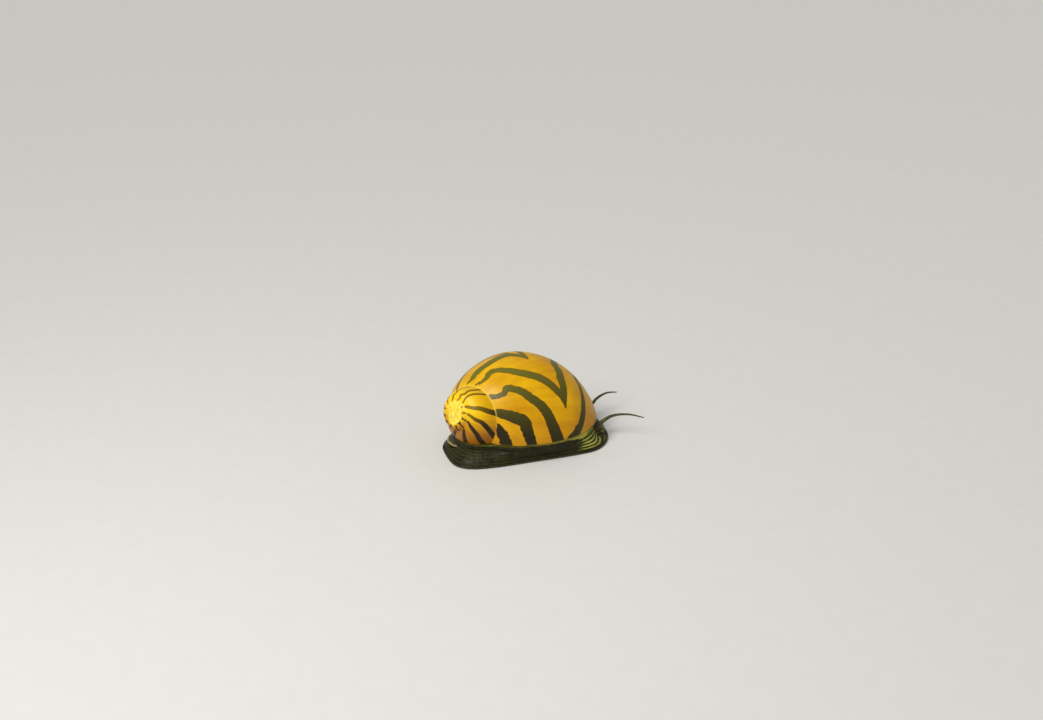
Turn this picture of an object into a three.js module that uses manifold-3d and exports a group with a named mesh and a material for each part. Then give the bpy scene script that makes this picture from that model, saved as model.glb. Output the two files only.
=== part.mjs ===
// A nerite snail crawling on level ground, life size, in millimetres with +Z up.
// The snail heads along +X and its left side is +Y. The origin is on the ground below the shell.
import * as THREE from 'three';
import { ConvexGeometry } from 'three/addons/geometries/ConvexGeometry.js';
import { mergeVertices } from 'three/addons/utils/BufferGeometryUtils.js';
import Module from 'manifold-3d';

const wasm = await Module();
wasm.setup();

// Space between two pieces that touch, the smallest detail kept on a surface, and the size of a
// block that is larger than the animal
const GAP = 0.3;
const FINEST_DETAIL = 0.006;
const FAR = 60;

// Shell: one whorl section, turned about the coiling axis and enlarged evenly with each turn
const WHORL_RATIO = 2.3;
const WHORL_CENTRE_RADIUS = 4.92;
const WHORL_CENTRE_DEPTH = 17.87;
const WHORL_HALF_WIDTH = 7.09;
const WHORL_HALF_HEIGHT_SPIRE_SIDE = 11.53;
const WHORL_HALF_HEIGHT_BASE_SIDE = 9.69;
const SPIRE_SIDE_SQUARENESS_YOUNG = 2.45;
const SPIRE_SIDE_SQUARENESS_GROWN = 1.47;
const BASE_SIDE_SQUARENESS = 2.27;
const AXIS_CORE_RADIUS = 0.35;
const AXIS_CORE_TAPER = 0.032;
const AXIS_CORE_DEPTH = 21;
const AXIS_CORE_SIDES = 16;

// Shell: where the coiling axis stands in the crawling animal
const APEX = new THREE.Vector3(-13.61, -3.13, 9.07);
const AXIS_YAW = THREE.MathUtils.degToRad(26.4);
const AXIS_PITCH = THREE.MathUtils.degToRad(17.5);
const LIP_HEIGHT = 3.37;

// Shell: growth angles in turns, with 0 where the outer lip meets the right flank
const LAST_GROWTH_TURN = 0.139;
const HALF_TURNS = 6;
const RINGS_PER_HALF_TURN = 22;
const POINTS_PER_RING = 26;

// Shell: tip of the spire, worn to a low dome
const WORN_DEPTH = 1.95;
const WORN_DOME_RADIUS = 9;
const WORN_REACH = 1;
const WORN_DOME_SIDES = 40;

// Shell: the callus that fills the hollow beside the axis on the left, and the opening below
const CALLUS_FRONT_OF = -2;
const CALLUS_LEFT_OF = 2;
const CALLUS_HULL_MARGIN = 4;
const CALLUS_SINK = 0.997;
const LIP_THICKNESS = 0.9;
const OPENING_DEPTH = 1.2;
const OPENING_TAPER = 0.5;
const OPENING_REAR = -5.5;
const OPENING_LEFT = 5;
const OPENING_CUT_BELOW = 1;

// Foot: a rounded rectangle on the ground, its front swung to the left, rising to the shell's rim
const FOOT_CENTRE = new THREE.Vector2(0.7, 1.0);
const FOOT_HALF_LENGTH = 13.5;
const FOOT_HALF_WIDTH = 7.35;
const FOOT_SQUARENESS_RIGHT = 4.4;
const FOOT_SQUARENESS_LEFT = 2.1;
const FOOT_SWING_FROM = 9;
const FOOT_SWING = 1.6;
const FOOT_TOP = 1.9;
const OUTLINE_POINTS = 80;

// Foot: rings from the sole up, each set in from the margin and drawn towards the shell's rim
const FOOT_LEVELS = [
  { height: 0, inset: 0.4, towardsRim: 0 },
  { height: 0.12, inset: 0.12, towardsRim: 0 },
  { height: 0.3, inset: 0, towardsRim: 0 },
  { height: 0.5, inset: 0.1, towardsRim: 0 },
  { height: 0.7, inset: 0.4, towardsRim: 0.05 },
  { height: 1.2, inset: 0.45, towardsRim: 0.3 },
  { height: FOOT_TOP, inset: 0.4, towardsRim: 0.75 },
];

// Mantle: a collar under the rim and a plug in the opening
const MANTLE_BOTTOM = FOOT_TOP + GAP;
const MANTLE_TOP = LIP_HEIGHT - GAP;
const COLLAR_INSET = 0.5;
const COLLAR_ROUNDING = 0.25;
const PLUG_STEP = 0.01;

// Operculum: a thin D-shaped plate carried on the tail of the foot
const OPERCULUM_THICKNESS = 0.6;
const OPERCULUM_REAR = -12.0;
const OPERCULUM_FRONT = -5.0;
const OPERCULUM_HALF_WIDTH = 4.3;
const OPERCULUM_LEFT_SHIFT = 1.4;
const OPERCULUM_SEGMENTS = 24;

// Head and neck: one form along a path that starts below the shell and dips to the ground
const NECK_ROOT = new THREE.Vector2(8, 0.1);
const HEAD_TURN = THREE.MathUtils.degToRad(6);
const HEAD_STATIONS = [
  { along: -4.5, height: 2.05, halfWidth: 2.8, halfThickness: 0.8 },
  { along: 0, height: 2.05, halfWidth: 3.3, halfThickness: 0.9 },
  { along: 1.6, height: 2.02, halfWidth: 3.55, halfThickness: 0.95 },
  { along: 3.1, height: 1.95, halfWidth: 3.5, halfThickness: 0.95 },
  { along: 4.0, height: 1.66, halfWidth: 3.3, halfThickness: 0.88 },
  { along: 4.7, height: 1.25, halfWidth: 3.1, halfThickness: 0.75 },
  { along: 5.15, height: 0.85, halfWidth: 2.9, halfThickness: 0.5 },
  { along: 5.3, height: 0.65, halfWidth: 2.7, halfThickness: 0.25 },
];
const HEAD_STARTS_AT_STATION = 2;
const HEAD_SQUARENESS = 2.4;
const HEAD_SIDES = 28;
const NECK_STEPS = 6;
const HEAD_STEPS = 14;
const CLEARANCE_STEPS = 18;
const MUZZLE_NOTCH_DEPTH = 0.35;
const MUZZLE_NOTCH_WIDTH = 1.1;
const MUZZLE_NOTCH_SHARPNESS = 8;

// Mouth: a short cleft between two lips on the lower front of the muzzle
const MOUTH_ALONG = 5.05;
const MOUTH_HEIGHT = 0.55;
const LIP_APART = 0.5;
const LIP_HALF_SIZE = new THREE.Vector3(0.45, 0.42, 0.36);
const CLEFT_AHEAD = 0.15;
const CLEFT_HALF_SIZE = new THREE.Vector3(0.6, 0.14, 0.5);

// Feelers: tapering, each in three lengths, their paths given along the head, to its left and up
const TENTACLE_ROOT_RADIUS = 0.42;
const TENTACLE_TIP_RADIUS = 0.2;
const TENTACLE_SIDES = 10;
const TENTACLE_STEPS = 6;
const TENTACLE_LENGTHS = ['base', 'middle', 'tip'];
const TENTACLE_PATHS = {
  right: [[3.6, -2.0, 2.0], [5.2, -1.95, 3.0], [6.5, -2.6, 3.8], [8.4, -4.0, 4.1], [10.4, -5.5, 3.8]],
  left: [[3.6, 2.2, 2.0], [5.0, 3.1, 2.8], [6.9, 4.3, 3.5], [9.1, 5.1, 3.7], [11.2, 5.4, 3.3]],
};

// Eyes: each on a short stalk at the outer side of a feeler's root, leaning forward, out and up
const EYE_STALK_ALONG = 3.3;
const EYE_STALK_SIDE = 3.05;
const EYE_STALK_HEIGHT = 2.1;
const EYE_STALK_LEAN = new THREE.Vector3(0.5, 0.8, 0.6).normalize();
const EYE_STALK_LENGTH = 1.2;
const EYE_STALK_RADIUS = 0.42;
const EYE_STALK_TAPER = 0.8;
const EYE_STALK_SIDES = 12;
const EYE_STALK_STEPS = 4;
const EYE_RADIUS = 0.27;
const BALL_SIDES = 16;

// Tools for closed meshes

const MERGE_DISTANCE = 1e-4;
const FLATNESS = 1e-3;

function orientOutward(geometry) {
  const position = geometry.getAttribute('position');
  const index = geometry.getIndex();
  const a = new THREE.Vector3();
  const b = new THREE.Vector3();
  const c = new THREE.Vector3();
  let volume = 0;
  for (let i = 0; i < index.count; i += 3) {
    a.fromBufferAttribute(position, index.getX(i));
    b.fromBufferAttribute(position, index.getX(i + 1));
    c.fromBufferAttribute(position, index.getX(i + 2));
    volume += a.dot(b.cross(c));
  }
  if (volume < 0) {
    for (let i = 0; i < index.count; i += 3) {
      const keep = index.getX(i);
      index.setX(i, index.getX(i + 2));
      index.setX(i + 2, keep);
    }
  }
  return geometry;
}

function loft(rings) {
  const count = rings[0].length;
  const positions = [];
  const indices = [];
  for (const ring of rings) {
    for (const point of ring) {
      positions.push(point.x, point.y, point.z);
    }
  }
  for (let i = 0; i + 1 < rings.length; i += 1) {
    for (let j = 0; j < count; j += 1) {
      const next = (j + 1) % count;
      const a = i * count + j;
      const b = i * count + next;
      const c = a + count;
      const d = b + count;
      indices.push(a, b, d, a, d, c);
    }
  }
  const ends = [[0, true], [rings.length - 1, false]];
  for (const [i, first] of ends) {
    const centre = new THREE.Vector3();
    for (const point of rings[i]) {
      centre.addScaledVector(point, 1 / count);
    }
    const tip = positions.length / 3;
    positions.push(centre.x, centre.y, centre.z);
    for (let j = 0; j < count; j += 1) {
      const a = i * count + j;
      const b = i * count + (j + 1) % count;
      indices.push(tip, first ? b : a, first ? a : b);
    }
  }
  const geometry = new THREE.BufferGeometry();
  geometry.setAttribute('position', new THREE.Float32BufferAttribute(positions, 3));
  geometry.setIndex(indices);
  return orientOutward(geometry);
}

function toSolid(geometry) {
  const bare = geometry.clone();
  bare.deleteAttribute('normal');
  bare.deleteAttribute('uv');
  const merged = mergeVertices(bare, MERGE_DISTANCE);
  const vertProperties = new Float32Array(merged.getAttribute('position').array);
  const triVerts = new Uint32Array(merged.getIndex().array);
  return new wasm.Manifold(new wasm.Mesh({ numProp: 3, vertProperties, triVerts }));
}

function toGeometry(solid) {
  const mesh = solid.getMesh();
  const geometry = new THREE.BufferGeometry();
  geometry.setAttribute('position', new THREE.Float32BufferAttribute(mesh.vertProperties, 3));
  geometry.setIndex(Array.from(mesh.triVerts));
  geometry.computeVertexNormals();
  return geometry;
}

function largest(solid) {
  let best = null;
  let bestVolume = 0;
  for (const piece of solid.decompose()) {
    if (piece.volume() > bestVolume) {
      best = piece;
      bestVolume = piece.volume();
    }
  }
  return best;
}

function box(low, high) {
  const size = new THREE.Vector3().subVectors(high, low);
  const geometry = new THREE.BoxGeometry(size.x, size.y, size.z);
  geometry.translate((low.x + high.x) / 2, (low.y + high.y) / 2, (low.z + high.z) / 2);
  return toSolid(geometry);
}

// Shell

const growthRate = Math.log(WHORL_RATIO) / (2 * Math.PI);
const spireward = new THREE.Vector3(
  -Math.cos(AXIS_YAW) * Math.cos(AXIS_PITCH),
  -Math.sin(AXIS_YAW) * Math.cos(AXIS_PITCH),
  Math.sin(AXIS_PITCH),
);
const outward = new THREE.Vector3().crossVectors(spireward, new THREE.Vector3(0, 0, -1)).normalize();
const upward = new THREE.Vector3().crossVectors(spireward, outward);

function spireSideSquareness(angle) {
  const grown = THREE.MathUtils.clamp((angle + 2 * Math.PI) / (1.5 * Math.PI) + 0.25, 0, 1);
  const blend = grown * grown * (3 - 2 * grown);
  return THREE.MathUtils.lerp(SPIRE_SIDE_SQUARENESS_YOUNG, SPIRE_SIDE_SQUARENESS_GROWN, blend);
}

function signedPower(value, exponent) {
  return Math.sign(value) * Math.abs(value) ** exponent;
}

function shellPoint(angle, radius, depth) {
  const size = Math.exp(growthRate * angle);
  return APEX.clone()
    .addScaledVector(outward, size * radius * Math.cos(angle))
    .addScaledVector(upward, -size * radius * Math.sin(angle))
    .addScaledVector(spireward, -size * depth);
}

function whorlRing(angle) {
  const upper = spireSideSquareness(angle);
  const reach = (WHORL_CENTRE_RADIUS - AXIS_CORE_RADIUS) / WHORL_HALF_WIDTH;
  const start = -Math.asin(reach ** (upper / 2));
  const end = Math.PI + Math.asin(reach ** (BASE_SIDE_SQUARENESS / 2));
  const ring = [];
  for (let i = 0; i < POINTS_PER_RING; i += 1) {
    const t = THREE.MathUtils.lerp(start, end, i / (POINTS_PER_RING - 1));
    const spireSide = Math.cos(t) >= 0;
    const power = 2 / (spireSide ? upper : BASE_SIDE_SQUARENESS);
    const height = spireSide ? WHORL_HALF_HEIGHT_SPIRE_SIDE : WHORL_HALF_HEIGHT_BASE_SIDE;
    const radius = WHORL_CENTRE_RADIUS + WHORL_HALF_WIDTH * signedPower(Math.sin(t), power);
    const depth = WHORL_CENTRE_DEPTH - height * signedPower(Math.cos(t), power);
    ring.push(shellPoint(angle, radius, depth));
  }
  return ring;
}

function halfTurn(startAngle) {
  const rings = [];
  for (let i = 0; i <= RINGS_PER_HALF_TURN; i += 1) {
    rings.push(whorlRing(startAngle + Math.PI * i / RINGS_PER_HALF_TURN));
  }
  return toSolid(loft(rings));
}

function onAxis(geometry, depth) {
  const turn = new THREE.Quaternion().setFromUnitVectors(new THREE.Vector3(0, 0, 1), spireward);
  const place = APEX.clone().addScaledVector(spireward, -depth);
  geometry.applyMatrix4(new THREE.Matrix4().compose(place, turn, new THREE.Vector3(1, 1, 1)));
  return toSolid(geometry);
}

function wearTip(shell) {
  const tip = new THREE.BoxGeometry(FAR, FAR, FAR);
  tip.translate(0, 0, FAR / 2);
  const dome = new THREE.SphereGeometry(WORN_DOME_RADIUS, WORN_DOME_SIDES, WORN_DOME_SIDES / 2);
  dome.rotateX(Math.PI / 2);
  const beyondTip = onAxis(tip, WORN_DEPTH + WORN_REACH);
  const kept = onAxis(dome, WORN_DEPTH + WORN_DOME_RADIUS);
  return shell.subtract(beyondTip.subtract(kept));
}

function fillBesideAxis(shell) {
  const position = toGeometry(shell).getAttribute('position');
  const points = [];
  for (let i = 0; i < position.count; i += 1) {
    const point = new THREE.Vector3().fromBufferAttribute(position, i);
    if (point.x > CALLUS_FRONT_OF - CALLUS_HULL_MARGIN) {
      points.push(point);
    }
  }
  const skin = new ConvexGeometry(points);
  skin.computeBoundingBox();
  const middle = skin.boundingBox.getCenter(new THREE.Vector3());
  middle.z = LIP_HEIGHT;
  skin.translate(-middle.x, -middle.y, -middle.z);
  skin.scale(CALLUS_SINK, CALLUS_SINK, CALLUS_SINK);
  skin.translate(middle.x, middle.y, middle.z);
  const low = new THREE.Vector3(CALLUS_FRONT_OF, CALLUS_LEFT_OF, LIP_HEIGHT);
  const side = box(low, new THREE.Vector3(FAR, FAR, FAR));
  return shell.add(toSolid(skin).intersect(side));
}

function makeUncutShell() {
  let shell = null;
  for (let i = 1; i <= HALF_TURNS; i += 1) {
    const piece = halfTurn(2 * Math.PI * LAST_GROWTH_TURN - i * Math.PI);
    shell = shell ? shell.add(piece) : piece;
  }
  const coreRadius = AXIS_CORE_TAPER * AXIS_CORE_DEPTH;
  const core = new THREE.ConeGeometry(coreRadius, AXIS_CORE_DEPTH, AXIS_CORE_SIDES);
  core.rotateX(Math.PI / 2);
  shell = wearTip(shell.add(onAxis(core, AXIS_CORE_DEPTH / 2)));
  const low = new THREE.Vector3(-FAR, -FAR, LIP_HEIGHT);
  shell = shell.intersect(box(low, new THREE.Vector3(FAR, FAR, FAR)));
  return largest(fillBesideAxis(shell));
}

// Outlines seen from above, as distances from the foot's centre

function measureRim(shell) {
  const geometry = toGeometry(shell);
  const position = geometry.getAttribute('position');
  const index = geometry.getIndex();
  const edges = [];
  for (let i = 0; i < index.count; i += 3) {
    const corners = [];
    for (let j = 0; j < 3; j += 1) {
      corners.push(new THREE.Vector3().fromBufferAttribute(position, index.getX(i + j)));
    }
    if (corners.every((corner) => Math.abs(corner.z - LIP_HEIGHT) < FLATNESS)) {
      for (let j = 0; j < 3; j += 1) {
        edges.push([corners[j], corners[(j + 1) % 3]]);
      }
    }
  }
  const radii = [];
  for (let i = 0; i < OUTLINE_POINTS; i += 1) {
    const angle = 2 * Math.PI * i / OUTLINE_POINTS;
    const across = new THREE.Vector2(-Math.sin(angle), Math.cos(angle));
    const along = new THREE.Vector2(Math.cos(angle), Math.sin(angle));
    let radius = 0;
    for (const [a, b] of edges) {
      const start = new THREE.Vector2(a.x, a.y).sub(FOOT_CENTRE);
      const end = new THREE.Vector2(b.x, b.y).sub(FOOT_CENTRE);
      const startSide = start.dot(across);
      const endSide = end.dot(across);
      if (startSide * endSide <= 0 && startSide !== endSide) {
        const crossing = start.clone().lerp(end, startSide / (startSide - endSide));
        radius = Math.max(radius, crossing.dot(along));
      }
    }
    radii.push(radius);
  }
  return radii;
}

function footRadius(angle) {
  const squareness = Math.sin(angle) > 0 ? FOOT_SQUARENESS_LEFT : FOOT_SQUARENESS_RIGHT;
  const along = Math.abs(Math.cos(angle) / FOOT_HALF_LENGTH) ** squareness;
  const across = Math.abs(Math.sin(angle) / FOOT_HALF_WIDTH) ** squareness;
  return (along + across) ** (-1 / squareness);
}

function outline(height, radiusAt, swingShare = 0) {
  const ring = [];
  for (let i = 0; i < OUTLINE_POINTS; i += 1) {
    const angle = 2 * Math.PI * i / OUTLINE_POINTS;
    const radius = radiusAt(angle, i);
    const x = FOOT_CENTRE.x + radius * Math.cos(angle);
    const y = FOOT_CENTRE.y + radius * Math.sin(angle);
    const swing = Math.max(0, (x - FOOT_SWING_FROM) / (FOOT_HALF_LENGTH - FOOT_SWING_FROM));
    ring.push(new THREE.Vector3(x, y + FOOT_SWING * swingShare * swing * swing, height));
  }
  return ring;
}

const uncutShell = makeUncutShell();
const rim = measureRim(uncutShell);

function openingRadius(angle, i, inset) {
  const spread = LIP_THICKNESS - inset;
  let radius = rim[i] - inset;
  if (Math.cos(angle) < 0) {
    radius = Math.min(radius, (OPENING_REAR - spread - FOOT_CENTRE.x) / Math.cos(angle));
  }
  if (Math.sin(angle) > 0) {
    radius = Math.min(radius, (OPENING_LEFT + spread - FOOT_CENTRE.y) / Math.sin(angle));
  }
  return radius;
}

function makeShell() {
  const mouth = (angle, i) => openingRadius(angle, i, LIP_THICKNESS);
  const ceiling = (angle, i) => openingRadius(angle, i, LIP_THICKNESS + OPENING_TAPER);
  const hollow = loft([
    outline(LIP_HEIGHT - OPENING_CUT_BELOW, mouth),
    outline(LIP_HEIGHT, mouth),
    outline(LIP_HEIGHT + OPENING_DEPTH, ceiling),
  ]);
  return largest(uncutShell.subtract(toSolid(hollow)));
}

// Head and neck

function headSpace(along, side, height) {
  return new THREE.Vector3(
    NECK_ROOT.x + along * Math.cos(HEAD_TURN) - side * Math.sin(HEAD_TURN),
    NECK_ROOT.y + along * Math.sin(HEAD_TURN) + side * Math.cos(HEAD_TURN),
    height,
  );
}

const headPath = new THREE.CatmullRomCurve3(
  HEAD_STATIONS.map((station) => new THREE.Vector3(station.along, 0, station.height)),
);
const headSize = new THREE.CatmullRomCurve3(
  HEAD_STATIONS.map((station) => new THREE.Vector3(station.halfWidth, station.halfThickness, 0)),
);
const neckEnd = HEAD_STARTS_AT_STATION / (HEAD_STATIONS.length - 1);

function headRing(u, grow, lengthen) {
  const middle = headPath.getPoint(u);
  const tangent = headPath.getTangent(u);
  const section = headSize.getPoint(u);
  const notchDepth = MUZZLE_NOTCH_DEPTH * u ** MUZZLE_NOTCH_SHARPNESS;
  const ring = [];
  for (let j = 0; j < HEAD_SIDES; j += 1) {
    const angle = 2 * Math.PI * j / HEAD_SIDES;
    const side = (section.x + grow) * signedPower(Math.cos(angle), 2 / HEAD_SQUARENESS);
    const rise = (section.y + grow) * signedPower(Math.sin(angle), 2 / HEAD_SQUARENESS);
    const notch = notchDepth * Math.exp(-((side / MUZZLE_NOTCH_WIDTH) ** 2));
    const along = middle.x - tangent.z * rise + tangent.x * lengthen - notch;
    const height = middle.z + tangent.x * rise + tangent.z * lengthen;
    ring.push(headSpace(along, side, height));
  }
  return ring;
}

function headForm(from, to, grow, steps) {
  const rings = [];
  for (let i = 0; i <= steps; i += 1) {
    let lengthen = 0;
    if (i === 0) {
      lengthen = -grow;
    }
    if (i === steps) {
      lengthen = grow;
    }
    rings.push(headRing(THREE.MathUtils.lerp(from, to, i / steps), grow, lengthen));
  }
  return toSolid(loft(rings));
}

function ellipsoid(centre, halfSize) {
  const geometry = new THREE.SphereGeometry(1, BALL_SIDES, BALL_SIDES / 2 + 2);
  geometry.scale(halfSize.x, halfSize.y, halfSize.z);
  geometry.rotateZ(HEAD_TURN);
  geometry.translate(centre.x, centre.y, centre.z);
  return toSolid(geometry);
}

function makeHead() {
  let head = headForm(neckEnd + GAP / headPath.getLength(), 1, 0, HEAD_STEPS);
  for (const side of [-1, 1]) {
    const lip = headSpace(MOUTH_ALONG, side * LIP_APART, MOUTH_HEIGHT);
    head = head.add(ellipsoid(lip, LIP_HALF_SIZE));
  }
  const cleft = headSpace(MOUTH_ALONG + CLEFT_AHEAD, 0, MOUTH_HEIGHT);
  return largest(head.subtract(ellipsoid(cleft, CLEFT_HALF_SIZE)));
}

// Feelers and eyes

function tube(path, from, to, startRadius, endRadius, sides, steps) {
  const rings = [];
  for (let i = 0; i <= steps; i += 1) {
    const u = THREE.MathUtils.lerp(from, to, i / steps);
    const middle = path.getPointAt(u);
    const tangent = path.getTangentAt(u);
    const sideways = new THREE.Vector3(0, 0, 1).cross(tangent).normalize();
    const over = tangent.clone().cross(sideways);
    const radius = THREE.MathUtils.lerp(startRadius, endRadius, i / steps);
    const ring = [];
    for (let j = 0; j < sides; j += 1) {
      const angle = 2 * Math.PI * j / sides;
      ring.push(middle.clone()
        .addScaledVector(sideways, radius * Math.cos(angle))
        .addScaledVector(over, radius * Math.sin(angle)));
    }
    rings.push(ring);
  }
  return toSolid(loft(rings));
}

function makeTentacle(name, length) {
  const path = new THREE.CatmullRomCurve3(TENTACLE_PATHS[name].map((place) => headSpace(...place)));
  const share = 1 / TENTACLE_LENGTHS.length;
  const isLast = length + 1 === TENTACLE_LENGTHS.length;
  const from = length * share;
  const to = isLast ? 1 : (length + 1) * share - GAP / path.getLength();
  const radius = (u) => THREE.MathUtils.lerp(TENTACLE_ROOT_RADIUS, TENTACLE_TIP_RADIUS, u);
  return tube(path, from, to, radius(from), radius(to), TENTACLE_SIDES, TENTACLE_STEPS);
}

function ball(centre, radius) {
  const geometry = new THREE.SphereGeometry(radius, BALL_SIDES, BALL_SIDES / 2 + 2);
  geometry.translate(centre.x, centre.y, centre.z);
  return toSolid(geometry);
}

function eyeStalkEnds(side) {
  const root = [EYE_STALK_ALONG, side * EYE_STALK_SIDE, EYE_STALK_HEIGHT];
  const lean = EYE_STALK_LEAN.clone().multiplyScalar(EYE_STALK_LENGTH);
  const tip = [root[0] + lean.x, root[1] + side * lean.y, root[2] + lean.z];
  return [headSpace(...root), headSpace(...tip)];
}

function makeEyeStalk(root, tip) {
  const path = new THREE.CatmullRomCurve3([root, root.clone().lerp(tip, 0.5), tip]);
  const endRadius = EYE_STALK_RADIUS * EYE_STALK_TAPER;
  const stalk = tube(path, 0, 1, EYE_STALK_RADIUS, endRadius, EYE_STALK_SIDES, EYE_STALK_STEPS);
  return stalk.subtract(ball(tip, EYE_RADIUS + GAP / 2));
}

// The whole animal

const snail = new THREE.Group();

function addPiece(name, solid, material) {
  const mesh = new THREE.Mesh(toGeometry(solid.simplify(FINEST_DETAIL)), material);
  mesh.name = name;
  snail.add(mesh);
}

function makeFoot() {
  const rings = [];
  for (const { height, inset, towardsRim } of FOOT_LEVELS) {
    const radiusAt = (angle, i) => {
      const margin = footRadius(angle) - inset;
      return THREE.MathUtils.lerp(margin, rim[i] - COLLAR_INSET, towardsRim);
    };
    rings.push(outline(height, radiusAt, 1 - towardsRim));
  }
  return toSolid(loft(rings));
}

function makeMantle() {
  const collar = (inset) => (angle, i) => rim[i] - COLLAR_INSET - inset;
  const plug = (inset) => (angle, i) => openingRadius(angle, i, LIP_THICKNESS + GAP + inset);
  return toSolid(loft([
    outline(MANTLE_BOTTOM, collar(COLLAR_ROUNDING)),
    outline(MANTLE_BOTTOM + COLLAR_ROUNDING, collar(0)),
    outline(MANTLE_TOP - COLLAR_ROUNDING, collar(0)),
    outline(MANTLE_TOP, collar(COLLAR_ROUNDING)),
    outline(MANTLE_TOP + PLUG_STEP, plug(0)),
    outline(LIP_HEIGHT + OPENING_DEPTH - GAP, plug(OPENING_TAPER)),
  ]));
}

function operculumForm(grow) {
  const shape = new THREE.Shape();
  const halfWidth = OPERCULUM_HALF_WIDTH + grow;
  const length = OPERCULUM_FRONT - OPERCULUM_REAR + grow;
  shape.moveTo(grow, -halfWidth);
  shape.lineTo(grow, halfWidth);
  shape.absellipse(0, 0, length, halfWidth, Math.PI / 2, 3 * Math.PI / 2);
  const geometry = new THREE.ExtrudeGeometry(shape, {
    depth: OPERCULUM_THICKNESS + 2 * grow,
    bevelEnabled: false,
    curveSegments: OPERCULUM_SEGMENTS,
  });
  geometry.translate(OPERCULUM_FRONT, OPERCULUM_LEFT_SHIFT, FOOT_TOP - OPERCULUM_THICKNESS - grow);
  return toSolid(geometry);
}

const fleshMaterial = new THREE.MeshStandardMaterial({ color: 0x2c2f1c, roughness: 0.45, metalness: 0 });
const mantleMaterial = new THREE.MeshStandardMaterial({ color: 0x8f8a3e, roughness: 0.5, metalness: 0 });
const shellMaterial = new THREE.MeshStandardMaterial({ color: 0xd79a1e, roughness: 0.35, metalness: 0 });
const operculumMaterial = new THREE.MeshStandardMaterial({ color: 0xb7a57c, roughness: 0.5, metalness: 0 });
const eyeMaterial = new THREE.MeshStandardMaterial({ color: 0x060606, roughness: 0.1, metalness: 0 });

const headClearance = headForm(0, 1, GAP, CLEARANCE_STEPS);
const foot = makeFoot().subtract(headClearance).subtract(operculumForm(GAP));

addPiece('shell', makeShell(), shellMaterial);
addPiece('operculum', operculumForm(0), operculumMaterial);
addPiece('foot', largest(foot), fleshMaterial);
addPiece('mantle', largest(makeMantle().subtract(headClearance)), mantleMaterial);
addPiece('neck', headForm(0, neckEnd, 0, NECK_STEPS), fleshMaterial);
addPiece('head', makeHead(), fleshMaterial);

for (const [name, side] of [['right', -1], ['left', 1]]) {
  TENTACLE_LENGTHS.forEach((length, i) => {
    const piece = makeTentacle(name, i);
    const rooted = i === 0 ? largest(piece.subtract(headClearance)) : piece;
    addPiece(`tentacle_${name}_${length}`, rooted, fleshMaterial);
  });
  const [root, tip] = eyeStalkEnds(side);
  addPiece(`eye_stalk_${name}`, largest(makeEyeStalk(root, tip).subtract(headClearance)), fleshMaterial);
  addPiece(`eye_${name}`, ball(tip, EYE_RADIUS), eyeMaterial);
}

export default snail;
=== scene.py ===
# %% [markdown]
# # A striped nerite snail
# This lesson models a small freshwater snail, life size, as it crawls on level ground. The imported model
# gives the frame: where the shell, foot, head and feelers are, and how large they are. The snail heads
# along +X, its left side is +Y, and the ground is at height zero.
#
# A snail is only three centimetres long, and many of Blender's tools are made for larger things. So each
# piece is modelled with one unit for a millimetre, and brought to its true size in metres at the end.

# %% Load the frame
import math

import bpy
import numpy as np
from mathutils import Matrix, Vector, noise


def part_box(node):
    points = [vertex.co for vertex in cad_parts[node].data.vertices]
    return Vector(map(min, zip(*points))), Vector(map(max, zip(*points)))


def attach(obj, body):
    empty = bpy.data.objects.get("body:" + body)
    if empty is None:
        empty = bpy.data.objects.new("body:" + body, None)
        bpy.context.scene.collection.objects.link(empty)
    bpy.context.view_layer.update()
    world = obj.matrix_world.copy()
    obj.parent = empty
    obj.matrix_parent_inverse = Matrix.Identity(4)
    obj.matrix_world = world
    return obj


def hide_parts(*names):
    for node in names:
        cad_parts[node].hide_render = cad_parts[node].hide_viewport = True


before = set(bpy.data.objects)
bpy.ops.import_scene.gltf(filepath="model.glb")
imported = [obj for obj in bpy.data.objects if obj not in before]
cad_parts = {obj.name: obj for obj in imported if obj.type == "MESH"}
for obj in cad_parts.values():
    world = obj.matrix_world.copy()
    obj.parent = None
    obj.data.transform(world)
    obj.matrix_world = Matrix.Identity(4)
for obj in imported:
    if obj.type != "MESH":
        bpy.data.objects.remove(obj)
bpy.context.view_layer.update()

MM = 0.001

# %% [markdown]
# ## Picking a piece and reading its points
# An operator acts on all that is selected, so everything is deselected before a piece is added. A formula
# is easiest on all points at once, so vertex places are read and written as plain arrays.

# %% Helpers: select, name, read and write
def deselect_all():
    bpy.ops.object.select_all(action="DESELECT")


def make_active(piece):
    deselect_all()
    piece.select_set(True)
    bpy.context.view_layer.objects.active = piece


def named(name):
    piece = bpy.context.object
    piece.name = name
    piece.data.name = name
    return piece


def places(piece):
    found = np.zeros(len(piece.data.vertices) * 3)
    piece.data.vertices.foreach_get("co", found)
    return found.reshape(-1, 3)


def set_places(piece, points):
    piece.data.vertices.foreach_set("co", np.asarray(points, float).ravel())
    piece.data.update()


def normals(piece):
    found = np.zeros(len(piece.data.vertices) * 3, np.float32)
    piece.data.vertices.foreach_get("normal", found)
    return found.reshape(-1, 3).astype(float)


def count_triangles(piece):
    return sum(len(face.vertices) - 2 for face in piece.data.polygons)


# %% [markdown]
# ## Modifiers and booleans
# A modifier could stay live on the piece. Here each one is applied at once, because the next step measures
# its result. The manifold solver is the quick one, and it needs closed meshes, so every open end is filled
# and every face turned outwards before a piece is joined or cut.

# %% Helpers: finish, combine, close
def finish_with(piece, kind, **settings):
    """Adds one modifier, applies it, and gives the piece back."""
    make_active(piece)
    modifier = piece.modifiers.new(kind.title(), kind)
    for setting, value in settings.items():
        setattr(modifier, setting, value)
    bpy.ops.object.modifier_apply(modifier=modifier.name)
    return piece


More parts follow.
